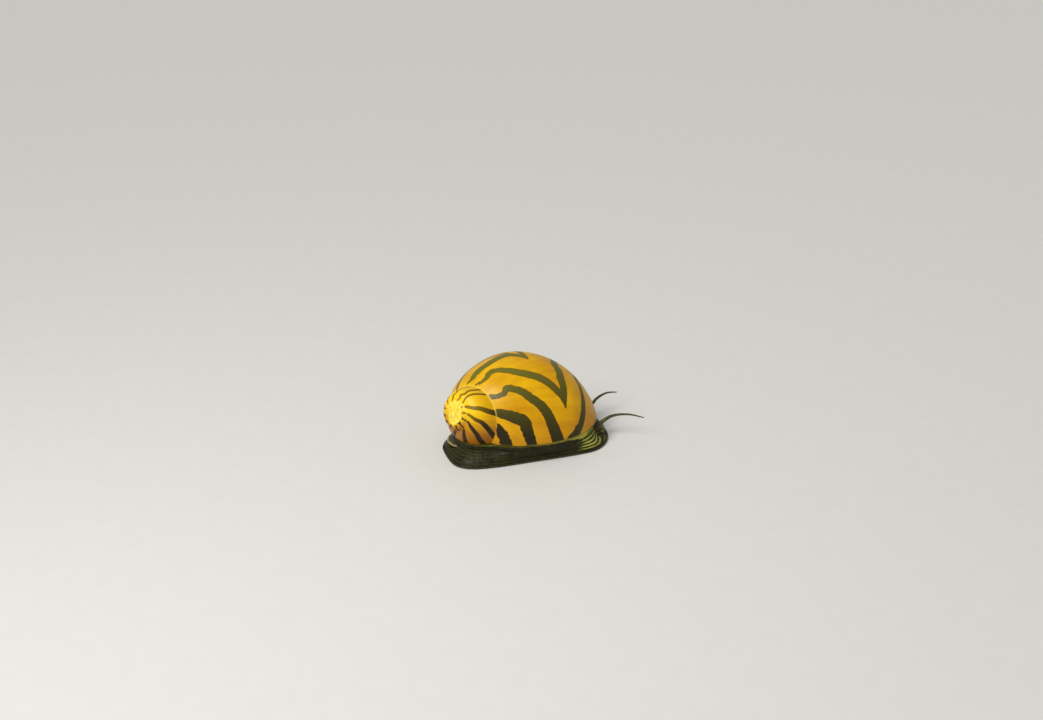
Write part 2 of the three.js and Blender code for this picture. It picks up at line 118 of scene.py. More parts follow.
def apply_tool(piece, tool, operation):
    finish_with(piece, "BOOLEAN", object=tool, operation=operation, solver="MANIFOLD")
    bpy.data.objects.remove(tool)
    return piece


def close_and_orient(piece):
    """Fills every open end, and turns all faces outwards."""
    make_active(piece)
    bpy.ops.object.mode_set(mode="EDIT")
    bpy.ops.mesh.select_all(action="DESELECT")
    bpy.ops.mesh.select_mode(type="EDGE")
    bpy.ops.mesh.select_non_manifold()
    bpy.ops.mesh.fill_holes(sides=0)
    bpy.ops.mesh.select_all(action="SELECT")
    bpy.ops.mesh.normals_make_consistent(inside=False)
    bpy.ops.object.mode_set(mode="OBJECT")
    return piece


def join(pieces):
    deselect_all()
    for piece in pieces:
        piece.select_set(True)
    bpy.context.view_layer.objects.active = pieces[0]
    bpy.ops.object.join()
    return pieces[0]


# %% [markdown]
# ## The coiled tube of the shell
# A snail enlarges its shell at the lip. Each addition has the outline of the last one, a little larger and
# turned a little further about one axis. Mathematically that is a logarithmic spiral: every full turn
# multiplies all sizes by the same number, the whorl ratio.
#
# A shell could be sculpted by eye, but then its sutures and stripes would wander. Here the outline of one
# whorl is turned about the axis by Spin, and each ring is then scaled by its own growth. The outline is a
# superellipse, squarer on the young whorls and more pointed towards the spire on the grown one.

# %% Sizes of the shell, in mm
WHORL_RATIO = 2.3
WHORL_CENTRE_RADIUS = 4.92
WHORL_CENTRE_DEPTH = 17.87
WHORL_HALF_WIDTH = 7.09
SPIRE_SIDE_HALF_HEIGHT = 11.53
BASE_SIDE_HALF_HEIGHT = 9.69
SQUARENESS_YOUNG = 2.45
SQUARENESS_GROWN = 1.47
SQUARENESS_BASE = 2.27
YOUNG_UNTIL = -2.375 * math.pi        # growth angles between which the outline changes
GROWN_FROM = -0.875 * math.pi
CORE_RADIUS = 0.35
APEX = Vector((-13.61, -3.13, 9.07))
AXIS_YAW = math.radians(26.4)
AXIS_PITCH = math.radians(17.5)
LAST_TURN = 0.139
TURNS = 3
RINGS_PER_TURN = 120
RING_POINTS = 64

LIP_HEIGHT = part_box("shell")[0].z / MM
GROWTH = math.log(WHORL_RATIO) / (2 * math.pi)
SPIREWARD = Vector((
    -math.cos(AXIS_YAW) * math.cos(AXIS_PITCH),
    -math.sin(AXIS_YAW) * math.cos(AXIS_PITCH),
    math.sin(AXIS_PITCH),
))
OUTWARD = SPIREWARD.cross(Vector((0, 0, -1))).normalized()
UPWARD = SPIREWARD.cross(OUTWARD)
print("the lip is at", round(LIP_HEIGHT, 2), "mm")
print("the spire points to", [round(v, 2) for v in SPIREWARD])


# %% The outline of a whorl
def smoothstep(low, high, value):
    share = np.clip((np.asarray(value, float) - low) / (high - low), 0, 1)
    return share * share * (3 - 2 * share)


def signed_power(value, exponent):
    return np.sign(value) * np.abs(value) ** exponent


def spire_squareness(angle):
    grown = smoothstep(YOUNG_UNTIL, GROWN_FROM, angle)
    return SQUARENESS_YOUNG + (SQUARENESS_GROWN - SQUARENESS_YOUNG) * grown


def whorl_section(angle, place):
    """Radius and depth at a place round the outline: 0 at the spire side, pi at the base side."""
    on_spire_side = np.cos(place) >= 0
    power = 2 / np.where(on_spire_side, spire_squareness(angle), SQUARENESS_BASE)
    height = np.where(on_spire_side, SPIRE_SIDE_HALF_HEIGHT, BASE_SIDE_HALF_HEIGHT)
    radius = WHORL_CENTRE_RADIUS + WHORL_HALF_WIDTH * signed_power(np.sin(place), power)
    depth = WHORL_CENTRE_DEPTH - height * signed_power(np.cos(place), power)
    return radius, depth


# %% From growth to places
def shell_points(angle, radius, depth):
    """Points in the snail's own frame from growth angle, and radius and depth at size one."""
    size = np.exp(GROWTH * np.asarray(angle))
    across = (size * radius * np.cos(angle))[..., None] * np.array(OUTWARD)
    up = (-size * radius * np.sin(angle))[..., None] * np.array(UPWARD)
    down_axis = (-size * depth)[..., None] * np.array(SPIREWARD)
    return np.array(APEX) + across + up + down_axis


def outline_places(angle):
    reach = (WHORL_CENTRE_RADIUS - CORE_RADIUS) / WHORL_HALF_WIDTH
    start = -math.asin(reach ** (float(spire_squareness(angle)) / 2))
    end = math.pi + math.asin(reach ** (SQUARENESS_BASE / 2))
    return np.linspace(start, end, RING_POINTS)


# %% Turn and grow the whorls
LAST_ANGLE = 2 * math.pi * LAST_TURN
FIRST_ANGLE = LAST_ANGLE - 2 * math.pi * TURNS


def make_whorls():
    deselect_all()
    bpy.ops.mesh.primitive_circle_add(vertices=RING_POINTS, radius=WHORL_HALF_WIDTH)
    whorls = named("whorls")
    ring = places(whorls)
    set_places(whorls, np.stack([WHORL_CENTRE_RADIUS + ring[:, 0], 0 * ring[:, 0], ring[:, 1]], -1))
    steps = TURNS * RINGS_PER_TURN
    bpy.ops.object.mode_set(mode="EDIT")
    bpy.ops.mesh.select_all(action="SELECT")
    bpy.ops.mesh.spin(steps=steps, angle=2 * math.pi * TURNS, axis=(0, 0, 1), use_auto_merge=False)
    bpy.ops.object.mode_set(mode="OBJECT")
    grown = []
    for angle in np.linspace(FIRST_ANGLE, LAST_ANGLE, steps + 1):
        radius, depth = whorl_section(angle, outline_places(angle))
        grown.append(shell_points(np.full(RING_POINTS, angle), radius, depth))
    set_places(whorls, np.concatenate(grown))
    return close_and_orient(whorls)


whorls = make_whorls()
print("whorls:", len(whorls.data.vertices), "vertices in", TURNS, "turns")

# %% [markdown]
# ## The core and the callus
# The coil turns about a solid pillar, which fills the narrow gap at its axis. A thin cone is that pillar.
#
# On its left the coil leaves a hollow beside the axis. A nerite fills it with callus, a smooth thick
# glaze. It could be sculpted, but a convex hull of the front of the shell is that fill already: it spans
# the hollow, and it touches the rest without a step. It is sunk by a hair, so that the striped whorl stays
# on top everywhere else, and cut off where the real callus ends.

# %% Core
CORE_LENGTH = 21.0
CORE_TAPER = 0.032
CORE_SIDES = 24
AXIS_TURN = SPIREWARD.to_track_quat("Z", "Y").to_euler()


def along_axis(depth):
    return APEX - SPIREWARD * depth


def make_core():
    deselect_all()
    bpy.ops.mesh.primitive_cone_add(
        vertices=CORE_SIDES, radius1=CORE_LENGTH * CORE_TAPER, radius2=0, depth=CORE_LENGTH,
        location=along_axis(CORE_LENGTH / 2), rotation=AXIS_TURN,
    )
    core = named("core")
    bpy.ops.object.transform_apply(location=True, rotation=True, scale=True)
    return core


core = make_core()
print("core:", len(core.data.vertices), "vertices")

# %% Callus
HULL_REAR = -6.0
CALLUS_REAR = -2.0
CALLUS_RIGHT = 2.0
CALLUS_MIDDLE = Vector((3.0, 1.0, LIP_HEIGHT))
CALLUS_SINK = 0.997


def cut_away(piece, point, normal):
    """Cuts a piece by a plane, drops the side that the normal points away from, and closes the cut."""
    make_active(piece)
    bpy.ops.object.mode_set(mode="EDIT")
    bpy.ops.mesh.select_all(action="SELECT")
    bpy.ops.mesh.bisect(plane_co=point, plane_no=normal, clear_inner=True, use_fill=True, threshold=1e-5)
    bpy.ops.object.mode_set(mode="OBJECT")
    return piece


def pick(piece, chosen):
    """Goes to edit mode with only the chosen vertices selected."""
    make_active(piece)
    bpy.ops.object.mode_set(mode="EDIT")
    bpy.ops.mesh.select_mode(type="VERT")
    bpy.ops.mesh.select_all(action="DESELECT")
    bpy.ops.object.mode_set(mode="OBJECT")
    for vertex in piece.data.vertices:
        vertex.select = bool(chosen[vertex.index])
    bpy.ops.object.mode_set(mode="EDIT")


def make_callus(shell):
    make_active(shell)
    bpy.ops.object.duplicate()
    callus = named("callus")
    pick(callus, places(callus)[:, 0] < HULL_REAR)
    bpy.ops.mesh.delete(type="VERT")
    bpy.ops.mesh.select_all(action="SELECT")
    bpy.ops.mesh.delete(type="EDGE_FACE")
    bpy.ops.mesh.select_all(action="SELECT")
    bpy.ops.mesh.convex_hull()
    bpy.ops.mesh.select_all(action="SELECT")
    bpy.ops.transform.resize(value=(CALLUS_SINK,) * 3, center_override=CALLUS_MIDDLE)
    bpy.ops.object.mode_set(mode="OBJECT")
    cut_away(callus, (CALLUS_REAR, 0, 0), (1, 0, 0))
    return cut_away(callus, (0, CALLUS_RIGHT, 0), (0, 1, 0))


# %% [markdown]
# ## One surface for the shell
# The tube passes through its own older whorls. A boolean would have to cut it with itself. A voxel remesh
# keeps only the outer surface, as one closed mesh with even faces, and it softens the sutures a little, as
# the glaze on a real shell does. The tube is cut along the plane of the lip before the callus joins it.

# %% Outer surface, lip and callus
SHELL_VOXEL = 0.125

shell = join([whorls, core])
finish_with(shell, "REMESH", mode="VOXEL", voxel_size=SHELL_VOXEL)
cut_away(shell, (0, 0, LIP_HEIGHT), (0, 0, 1))
shell = join([shell, make_callus(shell)])
finish_with(shell, "REMESH", mode="VOXEL", voxel_size=SHELL_VOXEL)
shell.name = "shell_glazed"
print("shell:", len(shell.data.vertices), "vertices,", count_triangles(shell), "triangles")

# %% [markdown]
# ## Worn tip
# Old nerites lose the tip of the spire: acid eats through the coloured layer, and what is left is a
# low pale dome. A plane would leave a flat saw cut. A block with a large ball taken out of it leaves a
# dome instead, when it is subtracted from the shell.

# %% Wear the tip down to a dome
WORN_DEPTH = 1.95
WORN_DOME_RADIUS = 9.0
WORN_REACH = 1.0
BLOCK_SIZE = 12.0


def wear_tip(shell):
    deselect_all()
    middle = along_axis(WORN_DEPTH + WORN_REACH - BLOCK_SIZE / 2)
    bpy.ops.mesh.primitive_cube_add(size=BLOCK_SIZE, location=middle, rotation=AXIS_TURN)
    block = named("worn_block")
    deselect_all()
    bpy.ops.mesh.primitive_uv_sphere_add(
        segments=96, ring_count=64, radius=WORN_DOME_RADIUS,
        location=along_axis(WORN_DEPTH + WORN_DOME_RADIUS), rotation=AXIS_TURN,
    )
    dome = named("worn_dome")
    apply_tool(shell, apply_tool(block, dome, "DIFFERENCE"), "DIFFERENCE")
    return finish_with(shell, "REMESH", mode="VOXEL", voxel_size=SHELL_VOXEL)


wear_tip(shell)
print("worn shell:", len(shell.data.vertices), "vertices,", count_triangles(shell), "triangles")

# %% [markdown]
# ## Reading the growth back from the surface
# The remesh forgot which whorl a point belongs to. Because the spiral is a formula, it can be asked
# again: a point's turn about the axis and its distance from it give its growth angle and its place round
# the outline. Every whorl is tried, and the nearest one is kept.
#
# Points close to the formula are moved onto it, which takes away the small steps of the voxels. The same
# numbers later draw the stripes and the growth lines.

# %% Growth angle and place of every point
ANGLE_PLAY = 0.02
UNKNOWN = 1e9
TINY = 1e-9        # keeps a division from failing


def near_whorl(radius, depth, angle):
    """Signed distance to the whorl at this growth angle, the place on it, and the way out of it."""
    size = np.exp(GROWTH * angle)
    side = radius / size - WHORL_CENTRE_RADIUS
    rise = WHORL_CENTRE_DEPTH - depth / size
    power = np.where(rise >= 0, spire_squareness(angle), SQUARENESS_BASE)
    height = np.where(rise >= 0, SPIRE_SIDE_HALF_HEIGHT, BASE_SIDE_HALF_HEIGHT)
    side_share = np.abs(side) / WHORL_HALF_WIDTH
    rise_share = np.abs(rise) / height
    level = side_share ** power + rise_share ** power - 1        # zero on the outline
    side_slope = power * np.sign(side) * side_share ** (power - 1) / WHORL_HALF_WIDTH
    rise_slope = power * np.sign(rise) * rise_share ** (power - 1) / height
    steepness = np.hypot(side_slope, rise_slope) + TINY
    gap = level / steepness * size
    gap[(angle > LAST_ANGLE + ANGLE_PLAY) | (angle < FIRST_ANGLE)] = UNKNOWN
    place = np.arctan2(np.sign(side) * side_share ** (power / 2), np.sign(rise) * rise_share ** (power / 2))
    place = np.where(place < -math.pi / 2, place + 2 * math.pi, place)
    radial = np.stack([np.cos(angle), -np.sin(angle)], -1) @ np.array([OUTWARD, UPWARD])
    outwards = radial * (side_slope / steepness)[:, None] + np.outer(rise_slope / steepness, SPIREWARD)
    return gap, place, outwards


def read_growth(points):
    """Growth angle, place, signed distance to the nearest whorl, and distance to the next nearest."""
    offset = points - np.array(APEX)
    depth = -(offset @ np.array(SPIREWARD))
    across, up = offset @ np.array(OUTWARD), offset @ np.array(UPWARD)
    count = len(points)
    found = {"angle": np.zeros(count), "place": np.zeros(count), "step": np.zeros((count, 3))}
    found["gap"] = np.full(count, UNKNOWN)
    found["next_gap"] = np.full(count, UNKNOWN)
    for whorl in range(-TURNS, 1):
        angle = 2 * math.pi * whorl - np.arctan2(up, across)
        gap, place, outwards = near_whorl(np.hypot(across, up), depth, angle)
        nearest = np.abs(found["gap"])
        nearer = np.abs(gap) < nearest
        found["next_gap"] = np.where(nearer, nearest, np.minimum(found["next_gap"], np.abs(gap)))
        found["step"] = np.where(nearer[:, None], -gap[:, None] * outwards, found["step"])
        for name, value in (("angle", angle), ("place", place), ("gap", gap)):
            found[name] = np.where(nearer, value, found[name])
    return found


# %% Back onto the formula
FREE_OF_SUTURE = 0.3
CLOSE_TO_WHORL = 0.25


def snap_to_whorls(shell):
    points = places(shell)
    for _ in range(2):
        growth = read_growth(points)
        hold = (np.abs(growth["gap"]) < CLOSE_TO_WHORL) * smoothstep(0, FREE_OF_SUTURE, growth["next_gap"])
        points = points + hold[:, None] * growth["step"]
    points[:, 2] = np.maximum(points[:, 2], LIP_HEIGHT)
    set_places(shell, points)
    return float(np.mean(hold > 0.5))


print("share of the surface that lies on the formula:", round(snap_to_whorls(shell), 2))

# %% [markdown]
# ## Rounding the edge of the worn dome
# The boolean left a sharp edge round the dome. Bevel would need clean edges, and a remeshed surface has
# none. Smoothing through a vertex group works on any mesh: it rounds the edge, and leaves the rest alone.

# %% Soften the worn edge
SMOOTHED_ABOVE = 0.02
WORN_RIM_ROUNDS = 40
WORN_RIM_IN = (0.8, 1.6)        # distances from the axis between which the smoothing sets in
WORN_RIM_OUT = (2.6, 3.4)
WORN_RIM_DEPTH = (WORN_DEPTH + 0.8, WORN_DEPTH + 1.6)


def soften_where(piece, share, rounds):
    """Smooths a piece only where the share is above zero."""
    group = piece.vertex_groups.new(name="softened")
    chosen = np.flatnonzero(share > SMOOTHED_ABOVE)
    for index in chosen:
        group.add([int(index)], float(share[index]), "REPLACE")
    finish_with(piece, "SMOOTH", factor=0.5, iterations=rounds, vertex_group=group.name)
    piece.vertex_groups.clear()
    print("softened:", len(chosen), "points of", len(share))


def axis_measures(points):
    """Depth below the apex along the axis, and distance from the axis."""
    offset = points - np.array(APEX)
    depth = -(offset @ np.array(SPIREWARD))
    return depth, np.sqrt(np.maximum(np.sum(offset ** 2, axis=1) - depth ** 2, 0))


def soften_worn_rim(shell):
    """Rounds the edge between the worn dome and the whorl."""
    depth, from_axis = axis_measures(places(shell))
    share = smoothstep(*WORN_RIM_IN, from_axis) * (1 - smoothstep(*WORN_RIM_OUT, from_axis))
    soften_where(shell, share * (1 - smoothstep(*WORN_RIM_DEPTH, depth)), WORN_RIM_ROUNDS)


soften_worn_rim(shell)

# %% [markdown]
# ## The rim of the shell
# The flesh has to meet the shell's rim all the way round. Its outline could be worked out from the spiral
# and the callus, but it is easier to measure: the farthest point near the lip, in each direction from one
# centre. A mean over neighbours takes the noise of the mesh out.

# %% Rim of the shell, seen from above
FOOT_CENTRE = np.array([0.7, 1.0])
OUTLINE_POINTS = 240
OUTLINE_ANGLES = 2 * math.pi * np.arange(OUTLINE_POINTS) / OUTLINE_POINTS
NEAR_LIP = 0.05
RIM_WINDOW = math.radians(2)
RIM_EVENING = 9


def even_out(values, width):
    """Mean of each value and its neighbours on a closed ring."""
    shifts = range(-(width // 2), width // 2 + 1)
    return sum(np.roll(values, shift) for shift in shifts) / width


def measure_rim(shell):
    points = places(shell)
    from_centre = points[points[:, 2] < LIP_HEIGHT + NEAR_LIP][:, :2] - FOOT_CENTRE
    turned = np.arctan2(from_centre[:, 1], from_centre[:, 0])
    reach = np.hypot(from_centre[:, 0], from_centre[:, 1])
    measured = []
    for angle in OUTLINE_ANGLES:
        apart = np.abs(np.angle(np.exp(1j * (turned - angle))))
        measured.append(reach[apart < RIM_WINDOW].max())
    return even_out(np.array(measured), RIM_EVENING)


rim = measure_rim(shell)
print("the rim lies", round(rim.min(), 1), "to", round(rim.max(), 1), "mm from the foot's centre")

# %% [markdown]
# ## The foot and the mantle collar
# The foot is a flat muscle that follows the ground. Seen from above it is a rounded rectangle, straighter
# on the right side than on the left, and its front swings a little to the left. Its side rises from a thin
# spread margin to the rim of the shell, where it meets the mantle, the soft collar that lines the shell.
#
# A sculpted block would do for a still picture, but the fit under the rim would be a guess. The outline is
# written in polar form about one centre instead, so each level of the foot can be drawn towards the rim
# that was measured. The levels are rings of one extruded circle.

# %% Outline of the sole
FOOT_HALF_LENGTH = 13.5
FOOT_HALF_WIDTH = 7.35
FOOT_SQUARENESS_RIGHT = 4.4
FOOT_SQUARENESS_LEFT = 2.1
FOOT_SWING_FROM = 9.0
FOOT_SWING = 1.6


def foot_margin(angle):
    squareness = np.where(np.sin(angle) > 0, FOOT_SQUARENESS_LEFT, FOOT_SQUARENESS_RIGHT)
    along = np.abs(np.cos(angle) / FOOT_HALF_LENGTH) ** squareness
    across = np.abs(np.sin(angle) / FOOT_HALF_WIDTH) ** squareness
    return (along + across) ** (-1 / squareness)


def outline(height, radius, swing_share=0.0):
    x = FOOT_CENTRE[0] + radius * np.cos(OUTLINE_ANGLES)
    y = FOOT_CENTRE[1] + radius * np.sin(OUTLINE_ANGLES)
    swing = np.maximum(0, (x - FOOT_SWING_FROM) / (FOOT_HALF_LENGTH - FOOT_SWING_FROM))
    return np.stack([x, y + FOOT_SWING * swing_share * swing ** 2, np.full(len(x), float(height))], -1)


print("the sole reaches", round(foot_margin(OUTLINE_ANGLES).max(), 1), "mm from its centre")

# %% Opening behind the lip
COLLAR_INSET = 0.5
OPENING_REAR = -5.5
OPENING_LEFT = 5.0
LIP_THICKNESS = 0.9
OPENING_DEPTH = 1.2
OPENING_TAPER = 0.5


def opening_radius(inset):
    """Outline of the hollow behind the lip, which is solid at the rear and on the left."""
    radius = rim - inset
    cosine, sine = np.cos(OUTLINE_ANGLES), np.sin(OUTLINE_ANGLES)
    spread = LIP_THICKNESS - inset
    rear = (OPENING_REAR - spread - FOOT_CENTRE[0]) / np.minimum(cosine, -TINY)
    left = (OPENING_LEFT + spread - FOOT_CENTRE[1]) / np.maximum(sine, TINY)
    radius = np.where(cosine < 0, np.minimum(radius, rear), radius)
    return np.where(sine > 0, np.minimum(radius, left), radius)


print("the opening reaches", round(opening_radius(LIP_THICKNESS).max(), 1), "mm from there")

# %% Levels of the foot and the collar
MANTLE_PLAY = 0.08
FRONT_SPAN = math.radians(38)
# height, inset from the margin, and how far the ring is drawn towards the rim, at the side and in front
FOOT_LEVELS = [
    (0.0, 0.42, 0, 0), (0.05, 0.22, 0, 0), (0.12, 0.1, 0, 0), (0.22, 0.02, 0, 0), (0.32, 0, 0, 0),
    (0.42, 0.03, 0, 0), (0.52, 0.14, 0, 0), (0.6, 0.28, 0.02, 0.06), (0.7, 0.4, 0.05, 0.22),
    (0.82, 0.42, 0.11, 0.45), (0.95, 0.44, 0.17, 0.62), (1.2, 0.45, 0.3, 0.76), (1.55, 0.42, 0.53, 0.85),
    (1.8, 0.42, 0.7, 0.9), (1.95, 0.5, 0.8, 0.93), (2.05, 0.6, 0.9, 0.96),
]
# height, and inset from the collar
COLLAR_LEVELS = [(2.15, 0.3), (2.22, 0.16), (2.35, 0.03), (2.6, 0), (2.9, 0.02), (3.1, 0.1), (3.22, 0.25)]


def loft(name, rings):
    """Extrudes a circle from ring to ring, and closes both ends."""
    deselect_all()
    bpy.ops.mesh.primitive_circle_add(vertices=len(rings[0]), radius=1)
    piece = named(name)
    bpy.ops.object.mode_set(mode="EDIT")
    for _ in rings[1:]:
        bpy.ops.mesh.extrude_edges_move()
    bpy.ops.object.mode_set(mode="OBJECT")
    set_places(piece, np.concatenate([np.asarray(ring, float) for ring in rings]))
    return close_and_orient(piece)


def make_foot():
    margin = foot_margin(OUTLINE_ANGLES)
    from_front = np.minimum(OUTLINE_ANGLES, 2 * math.pi - OUTLINE_ANGLES)
    in_front = 1 - smoothstep(FRONT_SPAN / 2, FRONT_SPAN, from_front)
    rings = []
    for height, inset, side_share, front_share in FOOT_LEVELS:
        share = side_share + (front_share - side_share) * in_front
        radius = (1 - share) * (margin - inset) + share * (rim - COLLAR_INSET)
        rings.append(outline(height, radius, 1 - share))
    for height, inset in COLLAR_LEVELS:
        rings.append(outline(height, rim - COLLAR_INSET - inset))
    top = LIP_HEIGHT + OPENING_DEPTH - MANTLE_PLAY
    rings.append(outline(LIP_HEIGHT - MANTLE_PLAY, opening_radius(LIP_THICKNESS + MANTLE_PLAY)))
    rings.append(outline(top, opening_radius(LIP_THICKNESS + OPENING_TAPER + MANTLE_PLAY)))
    return loft("skin", rings)


skin = make_foot()
print("foot:", len(skin.data.vertices), "vertices")

# %% [markdown]
# ## An even glaze, and the shell's opening
# A shell is a tube, and the animal fills it. Only a short stretch behind the lip is ever seen, so only
# that is hollowed: the same outline that the mantle follows is lofted upwards and taken out of the shell.
# Behind it the shell stays solid, which keeps the piece strong.
#
# The voxels have left small steps on the shell, and the callus ends on the whorl in one. On the real
# shell it runs out like a poured glaze. Sculpting would smooth by eye. Many light rounds of one Smooth
# modifier treat the whole shell alike, and the opening is cut after them, so its edge stays sharp.

# %% Smooth the shell, then hollow it
BELOW_LIP = 1.0
GLAZE_ROUNDS = 60


def hollow_shell(shell):
    tool = loft("hollow", [
        outline(LIP_HEIGHT - BELOW_LIP, opening_radius(LIP_THICKNESS)),
        outline(LIP_HEIGHT, opening_radius(LIP_THICKNESS)),
        outline(LIP_HEIGHT + OPENING_DEPTH, opening_radius(LIP_THICKNESS + OPENING_TAPER)),
    ])
    return apply_tool(shell, tool, "DIFFERENCE")


finish_with(shell, "SMOOTH", factor=0.5, iterations=GLAZE_ROUNDS)
hollow_shell(shell)
print("shell with its opening:", count_triangles(shell), "triangles")

# %% [markdown]
# ## Stripes
# The mantle edge lays down pigment while the shell grows, so a stripe is a record of time. Places that
# stay dark for long make a stripe along the growth; a band that wanders makes the zigzags of a nerite.
# Each stripe runs from the suture to a bend and back, and is drawn here as a few strokes. A stroke is
# given in growth turns and in places round the outline, with its widths in mm. The stripes of the hidden
# side and of the young whorls repeat, so they are one stroke each, moved on turn by turn.
#
# A painted picture would need a flat map, which a coil doesn't have. Instead each point of the surface
# keeps its distance to the nearest stroke, in mm. The colour edge is then as sharp as the shader asks.

# %% Strokes: widths in mm, then pairs of growth turn and place
STROKES = [
    ((0.3, 0.6, 1.15, 1.5, 1.5, 1.4, 1.0, 0.14), [
        (-0.308, 0.22), (-0.289, 0.35), (-0.292, 0.52), (-0.281, 0.82), (-0.274, 1.05), (-0.261, 1.2),
        (-0.237, 1.26), (-0.208, 1.27)]),
    ((0.14, 0.9, 1.0, 0.8, 0.7, 0.5, 0.2), [
        (-0.208, 1.27), (-0.26, 1.5), (-0.3, 1.9), (-0.33, 2.3), (-0.34, 2.9), (-0.335, 3.5)]),
    ((0.2, 0.3, 0.8, 0.95, 1.1, 1.3, 1.35, 1.2, 0.14), [
        (-0.25, 0.12), (-0.246, 0.2), (-0.231, 0.28), (-0.226, 0.44), (-0.235, 0.57), (-0.232, 0.65),
        (-0.207, 0.77), (-0.177, 0.89), (-0.155, 1.02), (-0.135, 1.14), (-0.109, 1.24), (-0.086, 1.3),
        (-0.058, 1.315)]),
    ((0.14, 1.1, 1.45, 1.5, 1.3, 0.9, 0.5, 0.2), [
        (-0.058, 1.315), (-0.081, 1.36), (-0.107, 1.46), (-0.134, 1.59), (-0.16, 1.69), (-0.177, 1.75),
        (-0.215, 2.1), (-0.24, 2.5), (-0.25, 3.0), (-0.24, 3.6)]),
    ((0.7, 0.8, 1.0, 1.15, 1.35, 1.6, 2.0), [
        (-0.132, 0.08), (-0.132, 0.13), (-0.123, 0.33), (-0.126, 0.46), (-0.137, 0.54), (-0.13, 0.63),
        (-0.112, 0.74), (-0.087, 0.83), (-0.066, 0.93), (-0.044, 0.99), (-0.015, 1.05), (0.02, 1.14)]),
    ((0.2, 0.6, 1.0, 0.9, 0.8, 1.05, 1.2, 1.35, 1.9), [
        (-0.175, 3.6), (-0.18, 2.95), (-0.165, 2.45), (-0.135, 2.08), (-0.109, 1.98), (-0.083, 1.88),
        (-0.058, 1.78), (-0.036, 1.69), (-0.013, 1.58), (0.01, 1.38)]),
    ((1.0, 1.7, 1.95, 1.7, 1.5), [
        (-0.055, 0.08), (-0.044, 0.3), (-0.035, 0.46), (-0.024, 0.62), (-0.004, 0.67), (0.017, 0.71),
        (0.05, 0.8)]),
    ((0.8, 0.9, 0.8, 0.5, 0.2), [(0.15, 1.9), (0.1, 2.2), (0.05, 2.5), (-0.01, 3.0), (-0.03, 3.6)]),
    ((1.0, 1.7, 1.9), [(0.013, 0.1), (0.041, 0.28), (0.08, 0.45)]),
    ((0.35, 0.5, 0.7, 0.8), [(-1.12, 0.1), (-1.092, 0.39), (-1.078, 0.76), (-1.062, 1.03), (-1.045, 1.4)]),
    ((0.35, 0.5, 0.7, 0.8), [(-1.04, 0.1), (-1.013, 0.36), (-0.998, 0.73), (-0.972, 0.99), (-0.92, 1.4)]),
    ((0.35, 0.6, 0.8, 0.9), [(-0.965, 0.1), (-0.942, 0.29), (-0.919, 0.62), (-0.89, 0.9), (-0.86, 1.3)]),
    ((0.4, 0.7, 0.9, 0.8), [(-0.865, 0.08), (-0.842, 0.24), (-0.814, 0.52), (-0.79, 0.9), (-0.76, 1.3)]),
    ((0.4, 0.7, 0.9, 0.8), [(-0.75, 0.08), (-0.73, 0.21), (-0.7, 0.6), (-0.67, 1.0), (-0.65, 1.3)]),
    ((0.15, 0.25, 0.3, 0.2), [(-1.175, 0.1), (-1.189, 0.46), (-1.187, 0.73), (-1.167, 1.13), (-1.15, 1.4)]),
]
CHEVRON_STARTS = [-0.39, -0.475, -0.565, -0.655]
CHEVRON_OUT = [(0, 0.1), (0.012, 0.5), (0.02, 0.8), (0.055, 1.05), (0.12, 1.28)]
CHEVRON_OUT_WIDTHS = (0.4, 0.6, 0.9, 1.0, 0.16)
CHEVRON_BACK = [(0.12, 1.28), (0.05, 1.5), (0.0, 1.9), (-0.03, 2.3), (-0.045, 3.0), (-0.03, 3.6)]
CHEVRON_BACK_WIDTHS = (0.16, 0.8, 1.0, 0.8, 0.6, 0.3)
YOUNG_NEWEST, YOUNG_OLDEST, YOUNG_APART = -1.255, -2.6, 0.085
YOUNG_STROKE = [(0, 0.05), (0.018, 0.25), (0.012, 0.42), (0.034, 0.62), (0.03, 0.85), (0.06, 1.4)]
YOUNG_WIDTHS = (0.16, 0.25, 0.35)
print(len(STROKES), "strokes drawn one by one,", len(CHEVRON_STARTS), "chevrons repeated")

# %% From strokes to rows of points
STROKE_STEPS = 240
STROKE_SPACING = 0.12
BEAD_SHARE = 0.4        # a narrow stroke needs closer points, or it looks like a string of beads


def curve_through(knots, count):
    """Points on a smooth curve that passes through every knot."""
    knots = np.asarray(knots, float)
    padded = np.vstack([2 * knots[0] - knots[1], knots, 2 * knots[-1] - knots[-2]])
    share = np.linspace(0, len(knots) - 1, count)
    segment = np.minimum(share.astype(int), len(knots) - 2)
    a, b, c, d = (padded[segment + i] for i in range(4))
    u = (share - segment)[:, None]
    return b + 0.5 * u * (c - a + u * (2 * a - 5 * b + 4 * c - d + u * (3 * b - a - 3 * c + d)))


def moved(stroke, turn):
    return [(turn + step, place) for step, place in stroke]


def on_whorl(turns, spots):
    angle = 2 * math.pi * np.asarray(turns)
    return shell_points(angle, *whorl_section(angle, np.asarray(spots)))


def all_strokes():
    strokes = list(STROKES)
    strokes += [(CHEVRON_OUT_WIDTHS, moved(CHEVRON_OUT, start)) for start in CHEVRON_STARTS]
    strokes += [(CHEVRON_BACK_WIDTHS, moved(CHEVRON_BACK, start)) for start in CHEVRON_STARTS]
    for start in np.arange(YOUNG_NEWEST, YOUNG_OLDEST, -YOUNG_APART):
        size = WHORL_RATIO ** (start - YOUNG_NEWEST)
        strokes.append(([width * size for width in YOUNG_WIDTHS], moved(YOUNG_STROKE, start)))
    return strokes


